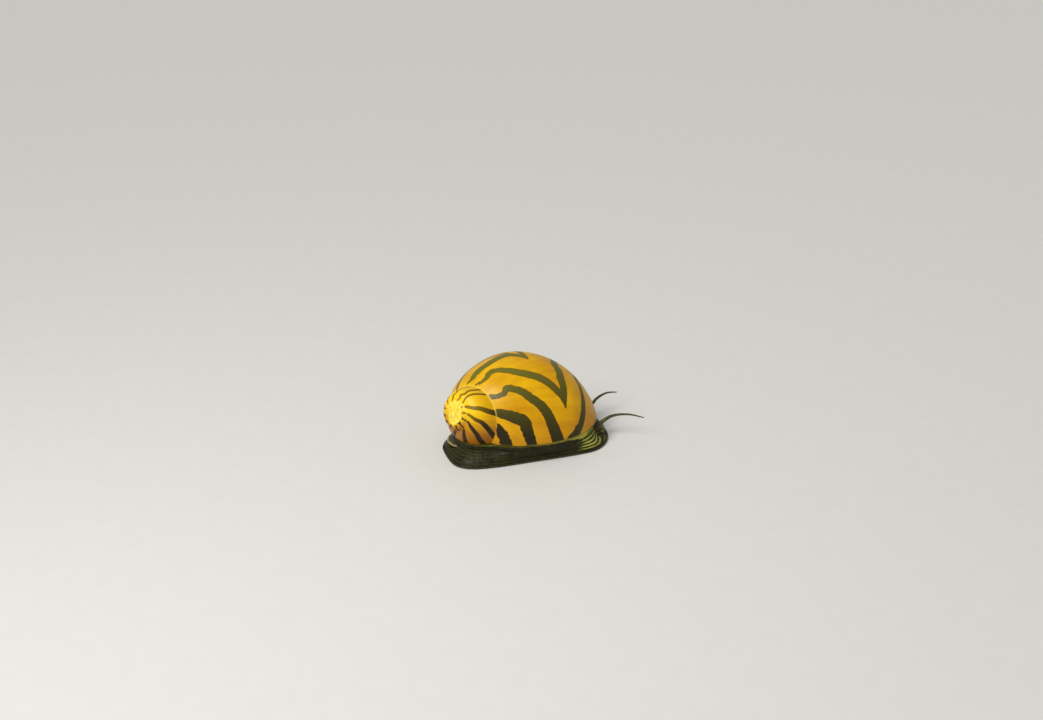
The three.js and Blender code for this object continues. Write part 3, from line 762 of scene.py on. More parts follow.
def dense_strokes():
    """Rows of x, y, z, growth turn and half width, close together along every stroke."""
    rows = []
    share = np.linspace(0, 1, STROKE_STEPS)
    for widths, knots in all_strokes():
        path = curve_through(knots, STROKE_STEPS)
        spots = on_whorl(path[:, 0], path[:, 1])
        half_width = np.interp(share, np.linspace(0, 1, len(widths)), widths) / 2
        length = np.linalg.norm(np.diff(spots, axis=0), axis=1).sum()
        spacing = min(STROKE_SPACING, BEAD_SHARE * half_width.max())
        count = min(STROKE_STEPS, 2 + int(length / spacing))
        kept = np.linspace(0, STROKE_STEPS - 1, count).astype(int)
        rows.append(np.column_stack([spots, path[:, 0], half_width])[kept])
    return np.concatenate(rows)


stroke_rows = dense_strokes()
print("points along all strokes:", len(stroke_rows))

# %% Distance of every point to the nearest stroke
CHUNK = 4000
SAME_WHORL = 0.4
FAR_AWAY = 9.0


def distance_to_strokes(points, growth):
    strokes = stroke_rows.astype(np.float32)
    middles, turns, half_widths = strokes[:, :3], strokes[:, 3], strokes[:, 4]
    own = points.astype(np.float32)
    own_turn = (growth["angle"] / (2 * math.pi)).astype(np.float32)
    shift = np.sum(own ** 2, axis=1) - growth["gap"] ** 2
    found = np.empty(len(points))
    for start in range(0, len(points), CHUNK):
        part = slice(start, start + CHUNK)
        apart = shift[part, None] - 2 * own[part] @ middles.T + np.sum(middles ** 2, axis=1)
        apart = np.sqrt(np.maximum(apart, 0)) - half_widths
        apart[np.abs(own_turn[part, None] - turns) > SAME_WHORL] = FAR_AWAY
        found[part] = apart.min(axis=1)
    return found


# %% [markdown]
# ## What every point of the shell keeps
# The material can only ask a point for numbers that it keeps. So each point keeps its distance to the
# stripes and to the suture, its growth, how worn it is, how thick the callus lies over the whorl, how much
# painted light lightens its amber near the tip and high up, and how much its amber is darkened low down on
# the older whorls, partly its own deeper amber and partly painted shade.
#
# Two shallow shapes are real here, and not only painted: the groove along the suture, and the pitted hollow
# of the worn patch. The patch is an uneven oval, higher than wide.

# %% Uneven edges, and numbers kept by the points
def uneven(points, waves):
    """Smooth noise at each point: a sum of waves, each with a height and a width in mm, and a seed."""
    total = np.zeros(len(points))
    for height, width, seed in waves:
        shift = Vector((seed * 17.3, seed * 5.1, seed * 9.7))
        total += height * np.array([noise.noise(Vector(point) / width + shift) for point in points])
    return total


def keep(piece, numbers):
    """Stores one number a point under each name, for the material to read."""
    for name, values in numbers.items():
        attribute = piece.data.attributes.new(name, "FLOAT", "POINT")
        attribute.data.foreach_set("value", np.asarray(values, float))


# %% Worn patch
WORN_PATCH_HALF_HEIGHT = 1.9
WORN_PATCH_NARROW = 0.7
WORN_PATCH_SHIFT = 0.2
WORN_FADE = (-0.5, 0.6)
WORN_END = WORN_DEPTH + 2
WORN_WAVES = [(0.35, 1.1, 3), (0.12, 0.4, 8)]


def wear_of(points, depth):
    """1 on the worn patch of the spire and 0 elsewhere, with a ragged border."""
    offset = points - np.array(APEX)
    across = (offset @ np.array(OUTWARD) - WORN_PATCH_SHIFT) / WORN_PATCH_NARROW
    border = WORN_PATCH_HALF_HEIGHT + uneven(points, WORN_WAVES)
    worn = 1 - smoothstep(*WORN_FADE, np.hypot(across, offset @ np.array(UPWARD)) - border)
    return worn * (depth < WORN_END)


# %% Suture groove, pits, and the numbers for the material
BASE_FROM = 2.0        # the place round the outline where the base side sets in
SCARP_DEPTH = 0.07
SCARP_SHARE = (0.4, 0.6)
SEAM_GROOVE_DEPTH = 0.05
SEAM_GROOVE_WIDTH = 0.3
OUTSIDE_FROM = LIP_HEIGHT + 0.02
WANDER_PLACES = (0.4, 1.0)
# painted light: near the tip and high up the amber is painted lighter, as if lit from above
TOP_LIGHT_REACH = (2.0, 7.5)
TOP_LIGHT_HEIGHTS = (7.0, 9.5)
# darker low down on the older whorls: painted shade, partly also the shell's own deeper amber
SHADE_AMBER_TURNS = (0.35, 0.9)
SHADE_AMBER_HEIGHTS = (4.5, 8.5)
GLAZE_THICKNESS = (0.0, 0.8)
PIT_WAVES = [(0.05, 0.35, 4)]
STRIPE_WAVES = [(0.14, 0.5, 6)]
GLAZE_WAVES = [(0.25, 1.6, 9)]


def finish_shell_surface(shell):
    """Carves the seam and the worn patch, and keeps the numbers for the material."""
    points = places(shell)
    height = points[:, 2]
    growth = read_growth(points)
    turn, place, gap = growth["angle"] / (2 * math.pi), growth["place"], growth["gap"]
    depth, _ = axis_measures(points)
    worn = wear_of(points, depth)
    seam = np.where((place > BASE_FROM) | (gap > CLOSE_TO_WHORL), FAR_AWAY, growth["next_gap"])
    groove = SEAM_GROOVE_DEPTH * (1 - smoothstep(0, SEAM_GROOVE_WIDTH, seam)) * (1 - worn)
    pits = worn * uneven(points, PIT_WAVES) + SCARP_DEPTH * smoothstep(*SCARP_SHARE, worn)
    set_places(shell, points - normals(shell) * ((groove + pits) * (height > OUTSIDE_FROM))[:, None])
    wander = WHORL_RATIO ** turn * uneven(points, STRIPE_WAVES) * (1 - smoothstep(*WANDER_PLACES, place))
    stripe = distance_to_strokes(points, growth) + wander
    from_tip = np.linalg.norm(points - np.array(along_axis(WORN_DEPTH)), axis=1)
    glaze = smoothstep(*GLAZE_THICKNESS, gap + uneven(points, GLAZE_WAVES))
    keep(shell, {
        "stripe": stripe, "turn": turn, "place": place, "seam": seam, "worn": worn,
        "glaze": glaze * (place > BASE_FROM) * (depth > WORN_END),
        # painted light near the tip and high up
        "painted_light": (1 - smoothstep(*TOP_LIGHT_REACH, from_tip)) * smoothstep(*TOP_LIGHT_HEIGHTS, height),
        # painted shade low down on the older whorls, partly also their own deeper amber
        "deep_amber_and_shade": smoothstep(*SHADE_AMBER_TURNS, -turn) * (1 - smoothstep(*SHADE_AMBER_HEIGHTS, height)),
    })
    return stripe


stripes = finish_shell_surface(shell)
print("share of the shell under stripes:", round(float(np.mean(stripes < 0)), 2))

# %% [markdown]
# ## Operculum
# The operculum is the door of the shell. The snail carries it on the tail, and shuts itself in with it.
# In a nerite it is a D-shaped limy plate that grows in arcs from one end of its straight side. A flat
# disc with painted arcs would be quicker, but light catches the real ones. So the plate is a pile of
# D-shaped rings, each shrunk towards that point, with a low ridge for each arc.
#
# The same outline, a little larger, is cut out of the tail as the bed of the plate. It is cut before the
# flesh is remeshed, so that the remesh rounds the edges of the bed, as soft flesh does.

# %% Operculum
OPERCULUM_REAR = -12.0
OPERCULUM_FRONT = -5.0
OPERCULUM_HALF_WIDTH = 4.3
OPERCULUM_MIDDLE = 1.4
OPERCULUM_TOP = 1.9
OPERCULUM_BOTTOM = 1.32
OPERCULUM_BULGE = 0.2
OPERCULUM_POINTS = 120
NUCLEUS = np.array([-5.9, -0.4])
# scale, and height over the bottom, of the underside and the rounded rim
RIM_RINGS = [(0.05, 0), (0.9, 0), (0.97, 0.05), (0.995, 0.18), (1.0, 0.32), (0.994, 0.43)]
DOME_FALL = 0.09
DOME_SCALE = 0.98
SMALLEST_SCALE = 0.004
ARC_COUNT = 30
ARC_STEPS = 3
ARC_HEIGHT = 0.012


def plate_ring(scale, height, grow=0.0):
    """The D, shrunk towards the point from which it grew."""
    angle = np.linspace(math.pi / 2, 3 * math.pi / 2, OPERCULUM_POINTS * 2 // 3)
    curve_x = OPERCULUM_FRONT + (OPERCULUM_FRONT - OPERCULUM_REAR + grow) * np.cos(angle)
    curve_y = OPERCULUM_MIDDLE + (OPERCULUM_HALF_WIDTH + grow) * np.sin(angle)
    straight = OPERCULUM_POINTS - len(angle)
    share = (np.arange(straight) + 0.5) / straight
    line_x = OPERCULUM_FRONT + grow + OPERCULUM_BULGE * np.sin(math.pi * share)
    line_y = OPERCULUM_MIDDLE - (OPERCULUM_HALF_WIDTH + grow) * (1 - 2 * share)
    ring = np.stack([np.append(curve_x, line_x), np.append(curve_y, line_y)], -1)
    flat = NUCLEUS + (ring - NUCLEUS) * scale
    return np.column_stack([flat, np.full(len(flat), height)])


def make_operculum():
    rings = [plate_ring(scale, OPERCULUM_BOTTOM + height) for scale, height in RIM_RINGS]
    for step in range(ARC_COUNT * ARC_STEPS):
        share = 1 - step / (ARC_COUNT * ARC_STEPS)
        dome = OPERCULUM_TOP - DOME_FALL * share ** 2
        arc = ARC_HEIGHT * math.cos(2 * math.pi * step / ARC_STEPS) * share
        rings.append(plate_ring(DOME_SCALE * share + SMALLEST_SCALE, dome + arc))
    return loft("operculum_plate", rings)


# %% Its bed in the tail
BED_PLAY = 0.13

operculum = make_operculum()
bed_levels = (OPERCULUM_BOTTOM - BED_PLAY, OPERCULUM_TOP + BED_PLAY / 2)
apply_tool(skin, loft("bed", [plate_ring(1, height, BED_PLAY) for height in bed_levels]), "DIFFERENCE")
print("operculum:", count_triangles(operculum), "triangles")

# %% [markdown]
# ## Neck and head
# The neck and head are one flattened tube. It starts under the shell, runs forward a little above the
# ground, and dips at the muzzle, which grazes with a mouth between two lips. Its path and its width come
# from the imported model. A stretched ball would lack the dip, so the tube is a loft, and a smooth curve
# through a few measured stations gives as many rings as it needs.
#
# A shallow slit keeps the muzzle apart from the front of the foot below it: the head is made once more,
# a little thicker, and cut out of the foot.

# %% Stations of the head
NECK_ROOT = np.array([8.0, 0.1])
HEAD_TURN = math.radians(6)
# along, height, half width, half thickness
HEAD_STATIONS = [
    (-4.5, 2.05, 2.8, 0.8), (0.0, 2.05, 3.3, 0.9), (1.6, 2.02, 3.5, 0.95), (3.1, 1.95, 3.4, 0.95),
    (4.0, 1.7, 3.15, 0.88), (4.7, 1.32, 2.75, 0.75), (5.15, 0.98, 2.15, 0.5), (5.3, 0.85, 1.5, 0.25),
]
HEAD_SQUARENESS = 2.15
HEAD_RINGS = 72
HEAD_SIDES = 96
MUZZLE_NOTCH_DEPTH = 0.35
MUZZLE_NOTCH_WIDTH = 1.1
MUZZLE_NOTCH_SHARPNESS = 8


def head_space(along, side, height):
    x = NECK_ROOT[0] + along * math.cos(HEAD_TURN) - side * math.sin(HEAD_TURN)
    y = NECK_ROOT[1] + along * math.sin(HEAD_TURN) + side * math.cos(HEAD_TURN)
    return np.stack(np.broadcast_arrays(x, y, height), -1)


def head_rings(grow=0.0, first=0):
    stations = curve_through(HEAD_STATIONS, HEAD_RINGS)
    slope = np.gradient(stations[:, 1]) / np.gradient(stations[:, 0])
    angle = 2 * math.pi * np.arange(HEAD_SIDES) / HEAD_SIDES
    rings = []
    for i in range(first, HEAD_RINGS):
        along, height, half_width, half_thickness = stations[i]
        tilt = math.atan(slope[i])
        side = (half_width + grow) * signed_power(np.cos(angle), 2 / HEAD_SQUARENESS)
        rise = (half_thickness + grow) * signed_power(np.sin(angle), 2 / HEAD_SQUARENESS)
        depth = MUZZLE_NOTCH_DEPTH * (i / (HEAD_RINGS - 1)) ** MUZZLE_NOTCH_SHARPNESS
        notch = depth * np.exp(-(side / MUZZLE_NOTCH_WIDTH) ** 2)
        reach = grow if i == HEAD_RINGS - 1 else 0.0
        place = along + reach * math.cos(tilt) - math.sin(tilt) * rise - notch
        rings.append(head_space(place, side, height + reach * math.sin(tilt) + math.cos(tilt) * rise))
    return rings


print("the muzzle ends at", [round(v, 1) for v in head_rings()[-1].mean(axis=0)])

# %% Slit and head
SLIT = 0.22
SLIT_FROM_RING = 44

apply_tool(skin, loft("slit", head_rings(SLIT, SLIT_FROM_RING)), "DIFFERENCE")
head = loft("head", head_rings())
print("head:", len(head.data.vertices), "vertices")

# %% [markdown]
# ## Lips, eye stalks and feelers
# A nerite's feelers are long, thin and pointed, and each grows out of the head with a soft thick root.
# The eyes sit on short stalks just outside them, and two low pads are the lips.
#
# A curve with a bevel would make the feelers quickly, but the rings of a loft also take a changing radius
# and the fine wrinkles. The roots, stalks and lips are joined to the head before the remesh, which melts
# them together. The thin feelers come after it, because voxels would eat their tips.

# %% Lips
LIP_PLACES = [(4.98, -0.6, 1.0), (4.98, 0.6, 1.0)]
LIP_HALF_SIZE = (0.48, 0.58, 0.33)


def ellipsoid(name, centre, half_size):
    """A closed ball, pressed to its half sizes along, across and over the head."""
    deselect_all()
    bpy.ops.mesh.primitive_uv_sphere_add(
        segments=48, ring_count=32, radius=1, location=centre, rotation=(0, 0, HEAD_TURN), scale=half_size
    )
    piece = named(name)
    bpy.ops.object.transform_apply(location=True, rotation=True, scale=True)
    return piece


lips = [ellipsoid("lip", head_space(*place), LIP_HALF_SIZE) for place in LIP_PLACES]
print("lips:", len(lips))

# %% Eye stalks
STALK_ALONG = 3.3
STALK_SIDE = 3.05
STALK_HEIGHT = 2.1
STALK_LEAN = np.array([0.5, 0.8, 0.6]) / np.linalg.norm([0.5, 0.8, 0.6])
STALK_RADII = [0.62, 0.47, 0.42, 0.4, 0.38, 0.34, 0.2]
STALK_SHARES = [-0.35, 0.0, 0.25, 0.5, 0.8, 1.0, 1.12]
STALK_LENGTH = 1.2
FEELER_SIDES = 24


def tube_rings(path, radii, sides):
    """Rings square to a path."""
    path = np.asarray(path, float)
    ahead = np.gradient(path, axis=0)
    ahead /= np.linalg.norm(ahead, axis=1)[:, None]
    sideways = np.cross([0, 0, 1], ahead)
    sideways /= np.linalg.norm(sideways, axis=1)[:, None]
    over = np.cross(ahead, sideways)
    angle = 2 * math.pi * np.arange(sides)[:, None] / sides
    rings = []
    for i, radius in enumerate(radii):
        rings.append(path[i] + radius * (np.cos(angle) * sideways[i] + np.sin(angle) * over[i]))
    return rings


def stalk_point(side, share):
    lean = STALK_LEAN * (1, side, 1) * STALK_LENGTH * share
    return head_space(STALK_ALONG + lean[0], side * STALK_SIDE + lean[1], STALK_HEIGHT + lean[2])


def make_stalk(side):
    path = [stalk_point(side, share) for share in STALK_SHARES]
    return loft("stalk", tube_rings(path, STALK_RADII, FEELER_SIDES))


print("the right stalk ends at", [round(v, 1) for v in stalk_point(-1, 1.0)])

# %% Feelers and their roots
# points along the head, to its left, and up
FEELER_PATHS = {
    "right": [(2.7, -2.1, 1.7), (3.6, -2.2, 2.1), (5.1, -2.15, 3.0), (6.5, -2.7, 3.75), (8.4, -4.0, 4.1),
              (10.4, -5.5, 3.8)],
    "left": [(2.7, 2.1, 1.7), (3.6, 2.35, 2.1), (5.0, 3.1, 2.8), (6.9, 4.3, 3.5), (9.1, 5.1, 3.7),
             (11.2, 5.4, 3.3)],
}
FEELER_RADII = [0.48, 0.38, 0.3, 0.22, 0.15, 0.08]
FEELER_STEPS = 90
WRINKLE_DEPTH = 0.05
WRINKLE_TURN = 1.3
TIP_SHARES = (0.8, 0.35)
ROOT_STEPS = 30
ROOT_RADII = (0.62, 0.27)


def feeler_path(side):
    return curve_through([head_space(*place) for place in FEELER_PATHS[side]], FEELER_STEPS)


def make_feeler(side):
    radii = curve_through(np.array(FEELER_RADII)[:, None], FEELER_STEPS)[:, 0]
    radii = radii * (1 + WRINKLE_DEPTH * np.sin(np.arange(FEELER_STEPS) * WRINKLE_TURN))
    radii[-2:] *= TIP_SHARES
    return loft("feeler", tube_rings(feeler_path(side), radii, FEELER_SIDES))


def make_feeler_root(side):
    """The thick first stretch, which grows out of the head with a soft shoulder."""
    radii = np.linspace(*ROOT_RADII, ROOT_STEPS)
    return loft("feeler_root", tube_rings(feeler_path(side)[:ROOT_STEPS], radii, FEELER_SIDES))


roots = [make_feeler_root(side) for side in FEELER_PATHS]
skin = join([skin, head, *lips, *roots, make_stalk(-1), make_stalk(1)])
print("foot, head, lips, roots and stalks:", len(skin.data.vertices), "vertices")

# %% [markdown]
# ## One skin
# The flesh is one muscle under one skin, with no seams. Booleans would leave sharp creases where the parts
# meet. A voxel remesh makes one closed surface of them all, and some smoothing rounds the creases. The
# mouth is a narrow cleft, cut afterwards with a flat ellipsoid so that it stays sharp.

# %% One skin
SKIN_VOXEL = 0.114
SMOOTH_ROUNDS = 8
MOUTH_PLACE = (5.35, 0, 0.92)
MOUTH_HALF_SIZE = (0.42, 0.09, 0.34)

finish_with(skin, "REMESH", mode="VOXEL", voxel_size=SKIN_VOXEL)
finish_with(skin, "SMOOTH", factor=0.5, iterations=SMOOTH_ROUNDS)
apply_tool(skin, ellipsoid("cleft", head_space(*MOUTH_PLACE), MOUTH_HALF_SIZE), "DIFFERENCE")
for side in FEELER_PATHS:
    apply_tool(skin, make_feeler(side), "UNION")
print("skin:", len(skin.data.vertices), "vertices,", count_triangles(skin), "triangles")

# %% [markdown]
# ## Eyes
# A nerite carries each eye on a short stalk outside the feeler. It is a closed ball: a dark cup of pigment
# behind a lens, under a clear skin that stands out a little more than the ball. A plain sphere would have
# no front. So the outer cap is pulled out along the stalk by a proportional move, which fades towards its
# edge, and each point keeps how far it faces outwards, for the material.

# %% Eyes
EYE_RADIUS = 0.25
SOCKET_PLAY = 0.01
CORNEA_FROM = 0.8
CORNEA_RISE = 0.05
CORNEA_REACH = 0.22


def make_eye(name, side):
    centre = stalk_point(side, 1.0)
    outward = stalk_point(side, 1.1) - centre
    outward /= np.linalg.norm(outward)
    eye = ellipsoid("eye_ball_" + name, centre, (EYE_RADIUS,) * 3)
    facing = (places(eye) - centre) @ outward / EYE_RADIUS
    pick(eye, facing > CORNEA_FROM)
    bpy.ops.transform.translate(
        value=outward * CORNEA_RISE, use_proportional_edit=True, proportional_edit_falloff="SMOOTH",
        proportional_size=CORNEA_REACH,
    )
    bpy.ops.object.mode_set(mode="OBJECT")
    keep(eye, {"facing": facing})
    return eye


eyes = {}
for name, side in (("right", -1), ("left", 1)):
    socket = ellipsoid("socket", stalk_point(side, 1.0), (EYE_RADIUS + SOCKET_PLAY,) * 3)
    apply_tool(skin, socket, "DIFFERENCE")
    eyes[name] = make_eye(name, side)
print("eyes:", {name: [round(v, 3) for v in np.ptp(places(eye), axis=0)] for name, eye in eyes.items()})

# %% [markdown]
# ## Marks on the flesh
# Pale lines follow the edge of the foot. They are faint along the side and grow bold towards the head,
# where they sweep up to the eyes. On top of the head fainter ones run lengthwise; the muzzle, the eye
# stalks and the feelers are plain. Under the lip of the shell the mantle edge is pale, and it widens to a
# patch beside the head.
#
# A stretched noise would give lines too, but not lines that follow the foot. As on the shell, each point
# of the mesh keeps a few numbers, and the material draws the lines from them.

# %% Where the head, the feelers and the stalks are
FEELER_FREE_FROM = 20
FEELER_MARK = (0.42, 0.62)
STALK_MARK = (0.6, 0.95)
STALK_MARK_SHARES = (0.2, 0.6, 1.0)
HEAD_FROM, HEAD_TO = 1.5, 5.7
HEAD_UNDER = (-0.5, 0.0)
HEAD_BESIDE = (0.0, 0.3)


def in_head_space(points):
    """Distance along the head and to its left."""
    forward, left = (points[:, :2] - NECK_ROOT).T
    along = forward * math.cos(HEAD_TURN) + left * math.sin(HEAD_TURN)
    return along, left * math.cos(HEAD_TURN) - forward * math.sin(HEAD_TURN)


def share_of_head(points):
    along, side = in_head_space(points)
    stations = np.array(HEAD_STATIONS).T
    height, half_width, half_thickness = (np.interp(along, stations[0], row) for row in stations[1:])
    above = smoothstep(*HEAD_UNDER, points[:, 2] - height + half_thickness)
    beside = 1 - smoothstep(*HEAD_BESIDE, np.abs(side) - half_width)
    return above * beside * (along > HEAD_FROM) * (along < HEAD_TO)


def distance_to_path(points, path):
    found = np.full(len(points), FAR_AWAY)
    for place in path:
        found = np.minimum(found, np.linalg.norm(points - place, axis=1))
    return found


def share_of_feelers(points):
    middles = np.concatenate([feeler_path(side)[FEELER_FREE_FROM:] for side in FEELER_PATHS])
    return 1 - smoothstep(*FEELER_MARK, distance_to_path(points, middles))


def share_of_stalks(points):
    middles = [stalk_point(side, share) for side in (-1, 1) for share in STALK_MARK_SHARES]
    return 1 - smoothstep(*STALK_MARK, distance_to_path(points, middles))


print("share of the skin on the head:", round(float(np.mean(share_of_head(places(skin)) > 0.5)), 2))

# %% Lines along the foot and up to the eyes
LINE_SPACING = 0.4
LINE_OFFSET = 0.12
HEAD_LINE_SPACING = 0.36
FOOT_SWEEP_FROM, FOOT_SWEEP = 8, 0.012
HEAD_SWEEP_FROM, HEAD_SWEEP = 11.6, 0.35
FRONT = (6.8, 9.2)
FRONT_ABOVE_SOLE = (0.5, 1.0)
LINE_WAVES = [(0.09, 1.8, 11), (0.04, 0.6, 14)]
STROKE_WAVES = [(0.25, 1.3, 15), (0.08, 0.5, 18)]
FRONT_WAVES = [(1.2, 1.0, 16)]


def line_level(points, on_head):
    """The height that the pale lines follow: level at the rear, sweeping up towards the head."""
    x = points[:, 0]
    sweep = FOOT_SWEEP * np.maximum(0, x - FOOT_SWEEP_FROM) ** 2
    sweep = sweep + HEAD_SWEEP * on_head * np.maximum(0, x - HEAD_SWEEP_FROM) ** 2
    return points[:, 2] - LINE_OFFSET - sweep + uneven(points, LINE_WAVES)


def share_of_front(points):
    forward = smoothstep(*FRONT, points[:, 0] + uneven(points, FRONT_WAVES))
    return forward * smoothstep(*FRONT_ABOVE_SOLE, points[:, 2])


# %% Pale edge of the mantle
COLLAR_LINE = 3.0
COLLAR_WIDER = 0.7
COLLAR_FADE = (-0.1, 0.1)
COLLAR_ABOVE_LIP = 0.3
COLLAR_REAR = 0.3
COLLAR_FORWARD = (-4, 4)
COLLAR_WAVES = [(0.08, 0.7, 17)]
PATCH_FROM, PATCH_LENGTH = 4.8, 3.4
PATCH_END = (8.8, 9.5)


def share_of_mantle_edge(points):
    """The pale edge under the lip of the shell, with its patch beside the head."""
    x, z = points[:, 0], points[:, 2]
    patch = np.clip((x - PATCH_FROM) / PATCH_LENGTH, 0, 1) ** 2 * (1 - smoothstep(*PATCH_END, x))
    above_line = z - COLLAR_LINE + COLLAR_WIDER * patch + uneven(points, COLLAR_WAVES)
    forward = COLLAR_REAR + (1 - COLLAR_REAR) * smoothstep(*COLLAR_FORWARD, x)
    return smoothstep(*COLLAR_FADE, above_line) * (z < LIP_HEIGHT + COLLAR_ABOVE_LIP) * forward


print("share in the mantle edge:", round(float(np.mean(share_of_mantle_edge(places(skin)) > 0.5)), 2))

# %% Ridges and soft waves
RIDGE_HEIGHT = 0.012
RIDGE_REAR = 0.1
RIDGE_ABOVE_SOLE = (0.35, 0.5)
WAVES_ABOVE_SOLE = (0.15, 0.5)
WAVES_BELOW_LIP = 0.1
SKIN_WAVES = [(0.05, 1.4, 12), (0.035, 0.5, 13)]


def raise_skin(skin, points, level, in_front, on_head, on_limb):
    """Low ridges along the lines, and soft waves all over, but not on the feelers and stalks."""
    facing = normals(skin)
    z = points[:, 2]
    ridge = np.cos(2 * math.pi * level / LINE_SPACING) * smoothstep(*RIDGE_ABOVE_SOLE, z)
    ridge = ridge * (1 - facing[:, 2] ** 4) * (1 - on_head) * (RIDGE_REAR + (1 - RIDGE_REAR) * in_front)
    waves = uneven(points, SKIN_WAVES) * smoothstep(*WAVES_ABOVE_SOLE, z)
    lift = (RIDGE_HEIGHT * ridge + waves) * (1 - on_limb) * (z < LIP_HEIGHT - WAVES_BELOW_LIP)
    set_places(skin, points + facing * lift[:, None])


# %% The numbers for the skin
MUZZLE_ALONG = (4.2, 4.8)
MUZZLE_BESIDE = (2.6, 3.2)
SNOUT_ALONG = (3.6, 5.2)
FACING_UP = (0.4, 0.75)
NECK_HEIGHT = (2.3, 2.6)
MARGIN_HEIGHT = (0.24, 0.42)
FEELER_PALE, FEELER_TOP_DARKER, STALK_PALE = 0.7, 0.3, 0.4


def mark_skin(skin):
    points = places(skin)
    z, up = points[:, 2], normals(skin)[:, 2]
    along, side = in_head_space(points)
    on_head, on_feeler, on_stalk = share_of_head(points), share_of_feelers(points), share_of_stalks(points)
    on_muzzle = smoothstep(*MUZZLE_ALONG, along) * (1 - smoothstep(*MUZZLE_BESIDE, np.abs(side)))
    striped = 1 - np.maximum.reduce([on_feeler, on_stalk, on_muzzle])
    on_top = on_head * smoothstep(*FACING_UP, up)
    on_neck = smoothstep(*FACING_UP, up) * smoothstep(*NECK_HEIGHT, z)
    level = line_level(points, on_head)
    in_front = share_of_front(points)
    bold = in_front * (1 - np.maximum(on_top, on_neck)) * striped
    raise_skin(skin, points, level, in_front, on_head, np.maximum(on_feeler, on_stalk))
    keep(skin, {
        "line": level / LINE_SPACING,
        "bold": bold,
        "stroke": (side + uneven(points, STROKE_WAVES)) / HEAD_LINE_SPACING,
        "faint": on_top * striped,
        "snout": on_head * smoothstep(*SNOUT_ALONG, along),
        "collar": share_of_mantle_edge(points) * (1 - on_head) * (1 - on_feeler),
        "margin": 1 - smoothstep(*MARGIN_HEIGHT, z),
        "feeler": np.maximum(on_feeler * (FEELER_PALE - FEELER_TOP_DARKER * up), STALK_PALE * on_stalk),
    })
    return bold


print("share of the skin that is striped:", round(float(np.mean(mark_skin(skin) > 0.5)), 2))

# %% [markdown]
# ## Arcs of the operculum
# The arcs are old edges of the plate, each the same D at a smaller scale. So a point's arc is its distance
# from the nucleus, as a share of the distance to the edge in that direction.

# %% Arc of every point
def mark_operculum(operculum):
    flat = places(operculum)[:, :2]
    reach = np.linalg.norm(flat - NUCLEUS, axis=1)
    turned = np.arctan2(flat[:, 1] - NUCLEUS[1], flat[:, 0] - NUCLEUS[0])
    edge = plate_ring(1, 0)[:, :2] - NUCLEUS
    edge_turn = np.arctan2(edge[:, 1], edge[:, 0])
    order = np.argsort(edge_turn)
    limit = np.interp(turned, edge_turn[order], np.linalg.norm(edge, axis=1)[order], period=2 * math.pi)
    keep(operculum, {"arc": reach / limit})


mark_operculum(operculum)
print("arcs:", ARC_COUNT)

# %% [markdown]
# ## Place in the frame
# The pieces have been modelled where the imported model has its nodes, so they only need their true size.
# `settle` turns millimetres into metres and leaves the object at the origin, with its place in its mesh.
# Each piece then says what it rides on, and which nodes it stands for. A still snail has one body, the
# root.

# %% Scale, ride, replace
def settle(piece):
    """Brings a piece from millimetres to metres, with its object at the origin."""
    make_active(piece)
    piece.scale = (MM, MM, MM)
    bpy.ops.object.transform_apply(location=True, rotation=True, scale=True)
    bpy.ops.object.shade_smooth()
    return piece


shell.name = "shell_coil"
skin.name = "snail_skin"
FLESH_NODES = ["foot", "mantle", "neck", "head", "eye_stalk_right", "eye_stalk_left"]
FLESH_NODES += [f"tentacle_{side}_{part}" for side in FEELER_PATHS for part in ("base", "middle", "tip")]
STANDS_FOR = [
    (shell, "shell", ["shell"]), (skin, "skin", FLESH_NODES), (operculum, "operculum", ["operculum"]),
    (eyes["right"], "eye", ["eye_right"]), (eyes["left"], "eye", ["eye_left"]),
]
for piece, slot, nodes in STANDS_FOR:
    settle(piece)
    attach(piece, "root")
    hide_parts(*nodes)
    print(piece.name, "stands for", ", ".join(nodes))

# %% [markdown]
# ## Materials
# Colours are written as sRGB hex codes, as they look under the warm light of the photograph, and one
# function turns a code into the linear numbers that Blender works with. Patterns are sized in mm.
#
# A material could be clicked together by hand, but here one small function adds a node and links it. What
# it gives back is kept in a dictionary under a plain name, so that later nodes can ask for it. Where many
# nodes of one kind differ only in their numbers, the numbers stand in a table, and a loop adds the nodes.

# %% Material helpers
PER_MM = 1 / MM
FIRST, SECOND, BLENDED = 6, 7, 2        # the colour sockets of the Mix node


def linear(code):
    parts = [int(code[i:i + 2], 16) / 255 for i in (0, 2, 4)]
    return tuple(c / 12.92 if c <= 0.04045 else ((c + 0.055) / 1.055) ** 2.4 for c in parts) + (1.0,)


def new_material(name):
    material = bpy.data.materials.new(name)
    material.use_nodes = True
    return material, material.node_tree.nodes["Principled BSDF"]


def feed(node, inputs):
    """An input is a number, a colour, or the output of another node."""
    for socket, value in inputs.items():
        if isinstance(value, bpy.types.NodeSocket):
            node.id_data.links.new(value, node.inputs[socket])
        else:
            node.inputs[socket].default_value = value


def add(material, kind, inputs, out=0, **settings):
    """Adds a node with its settings and links, and gives one of its outputs."""
    made = material.node_tree.nodes.new("ShaderNode" + kind)
    for name, value in settings.items():
        setattr(made, name, value)
    feed(made, inputs)
    return made.outputs[out]


def paint(piece, material):
    piece.data.materials.clear()
    piece.data.materials.append(material)
    for face in piece.data.polygons:
        face.material_index = 0
    print(piece.name, "is", material.name)
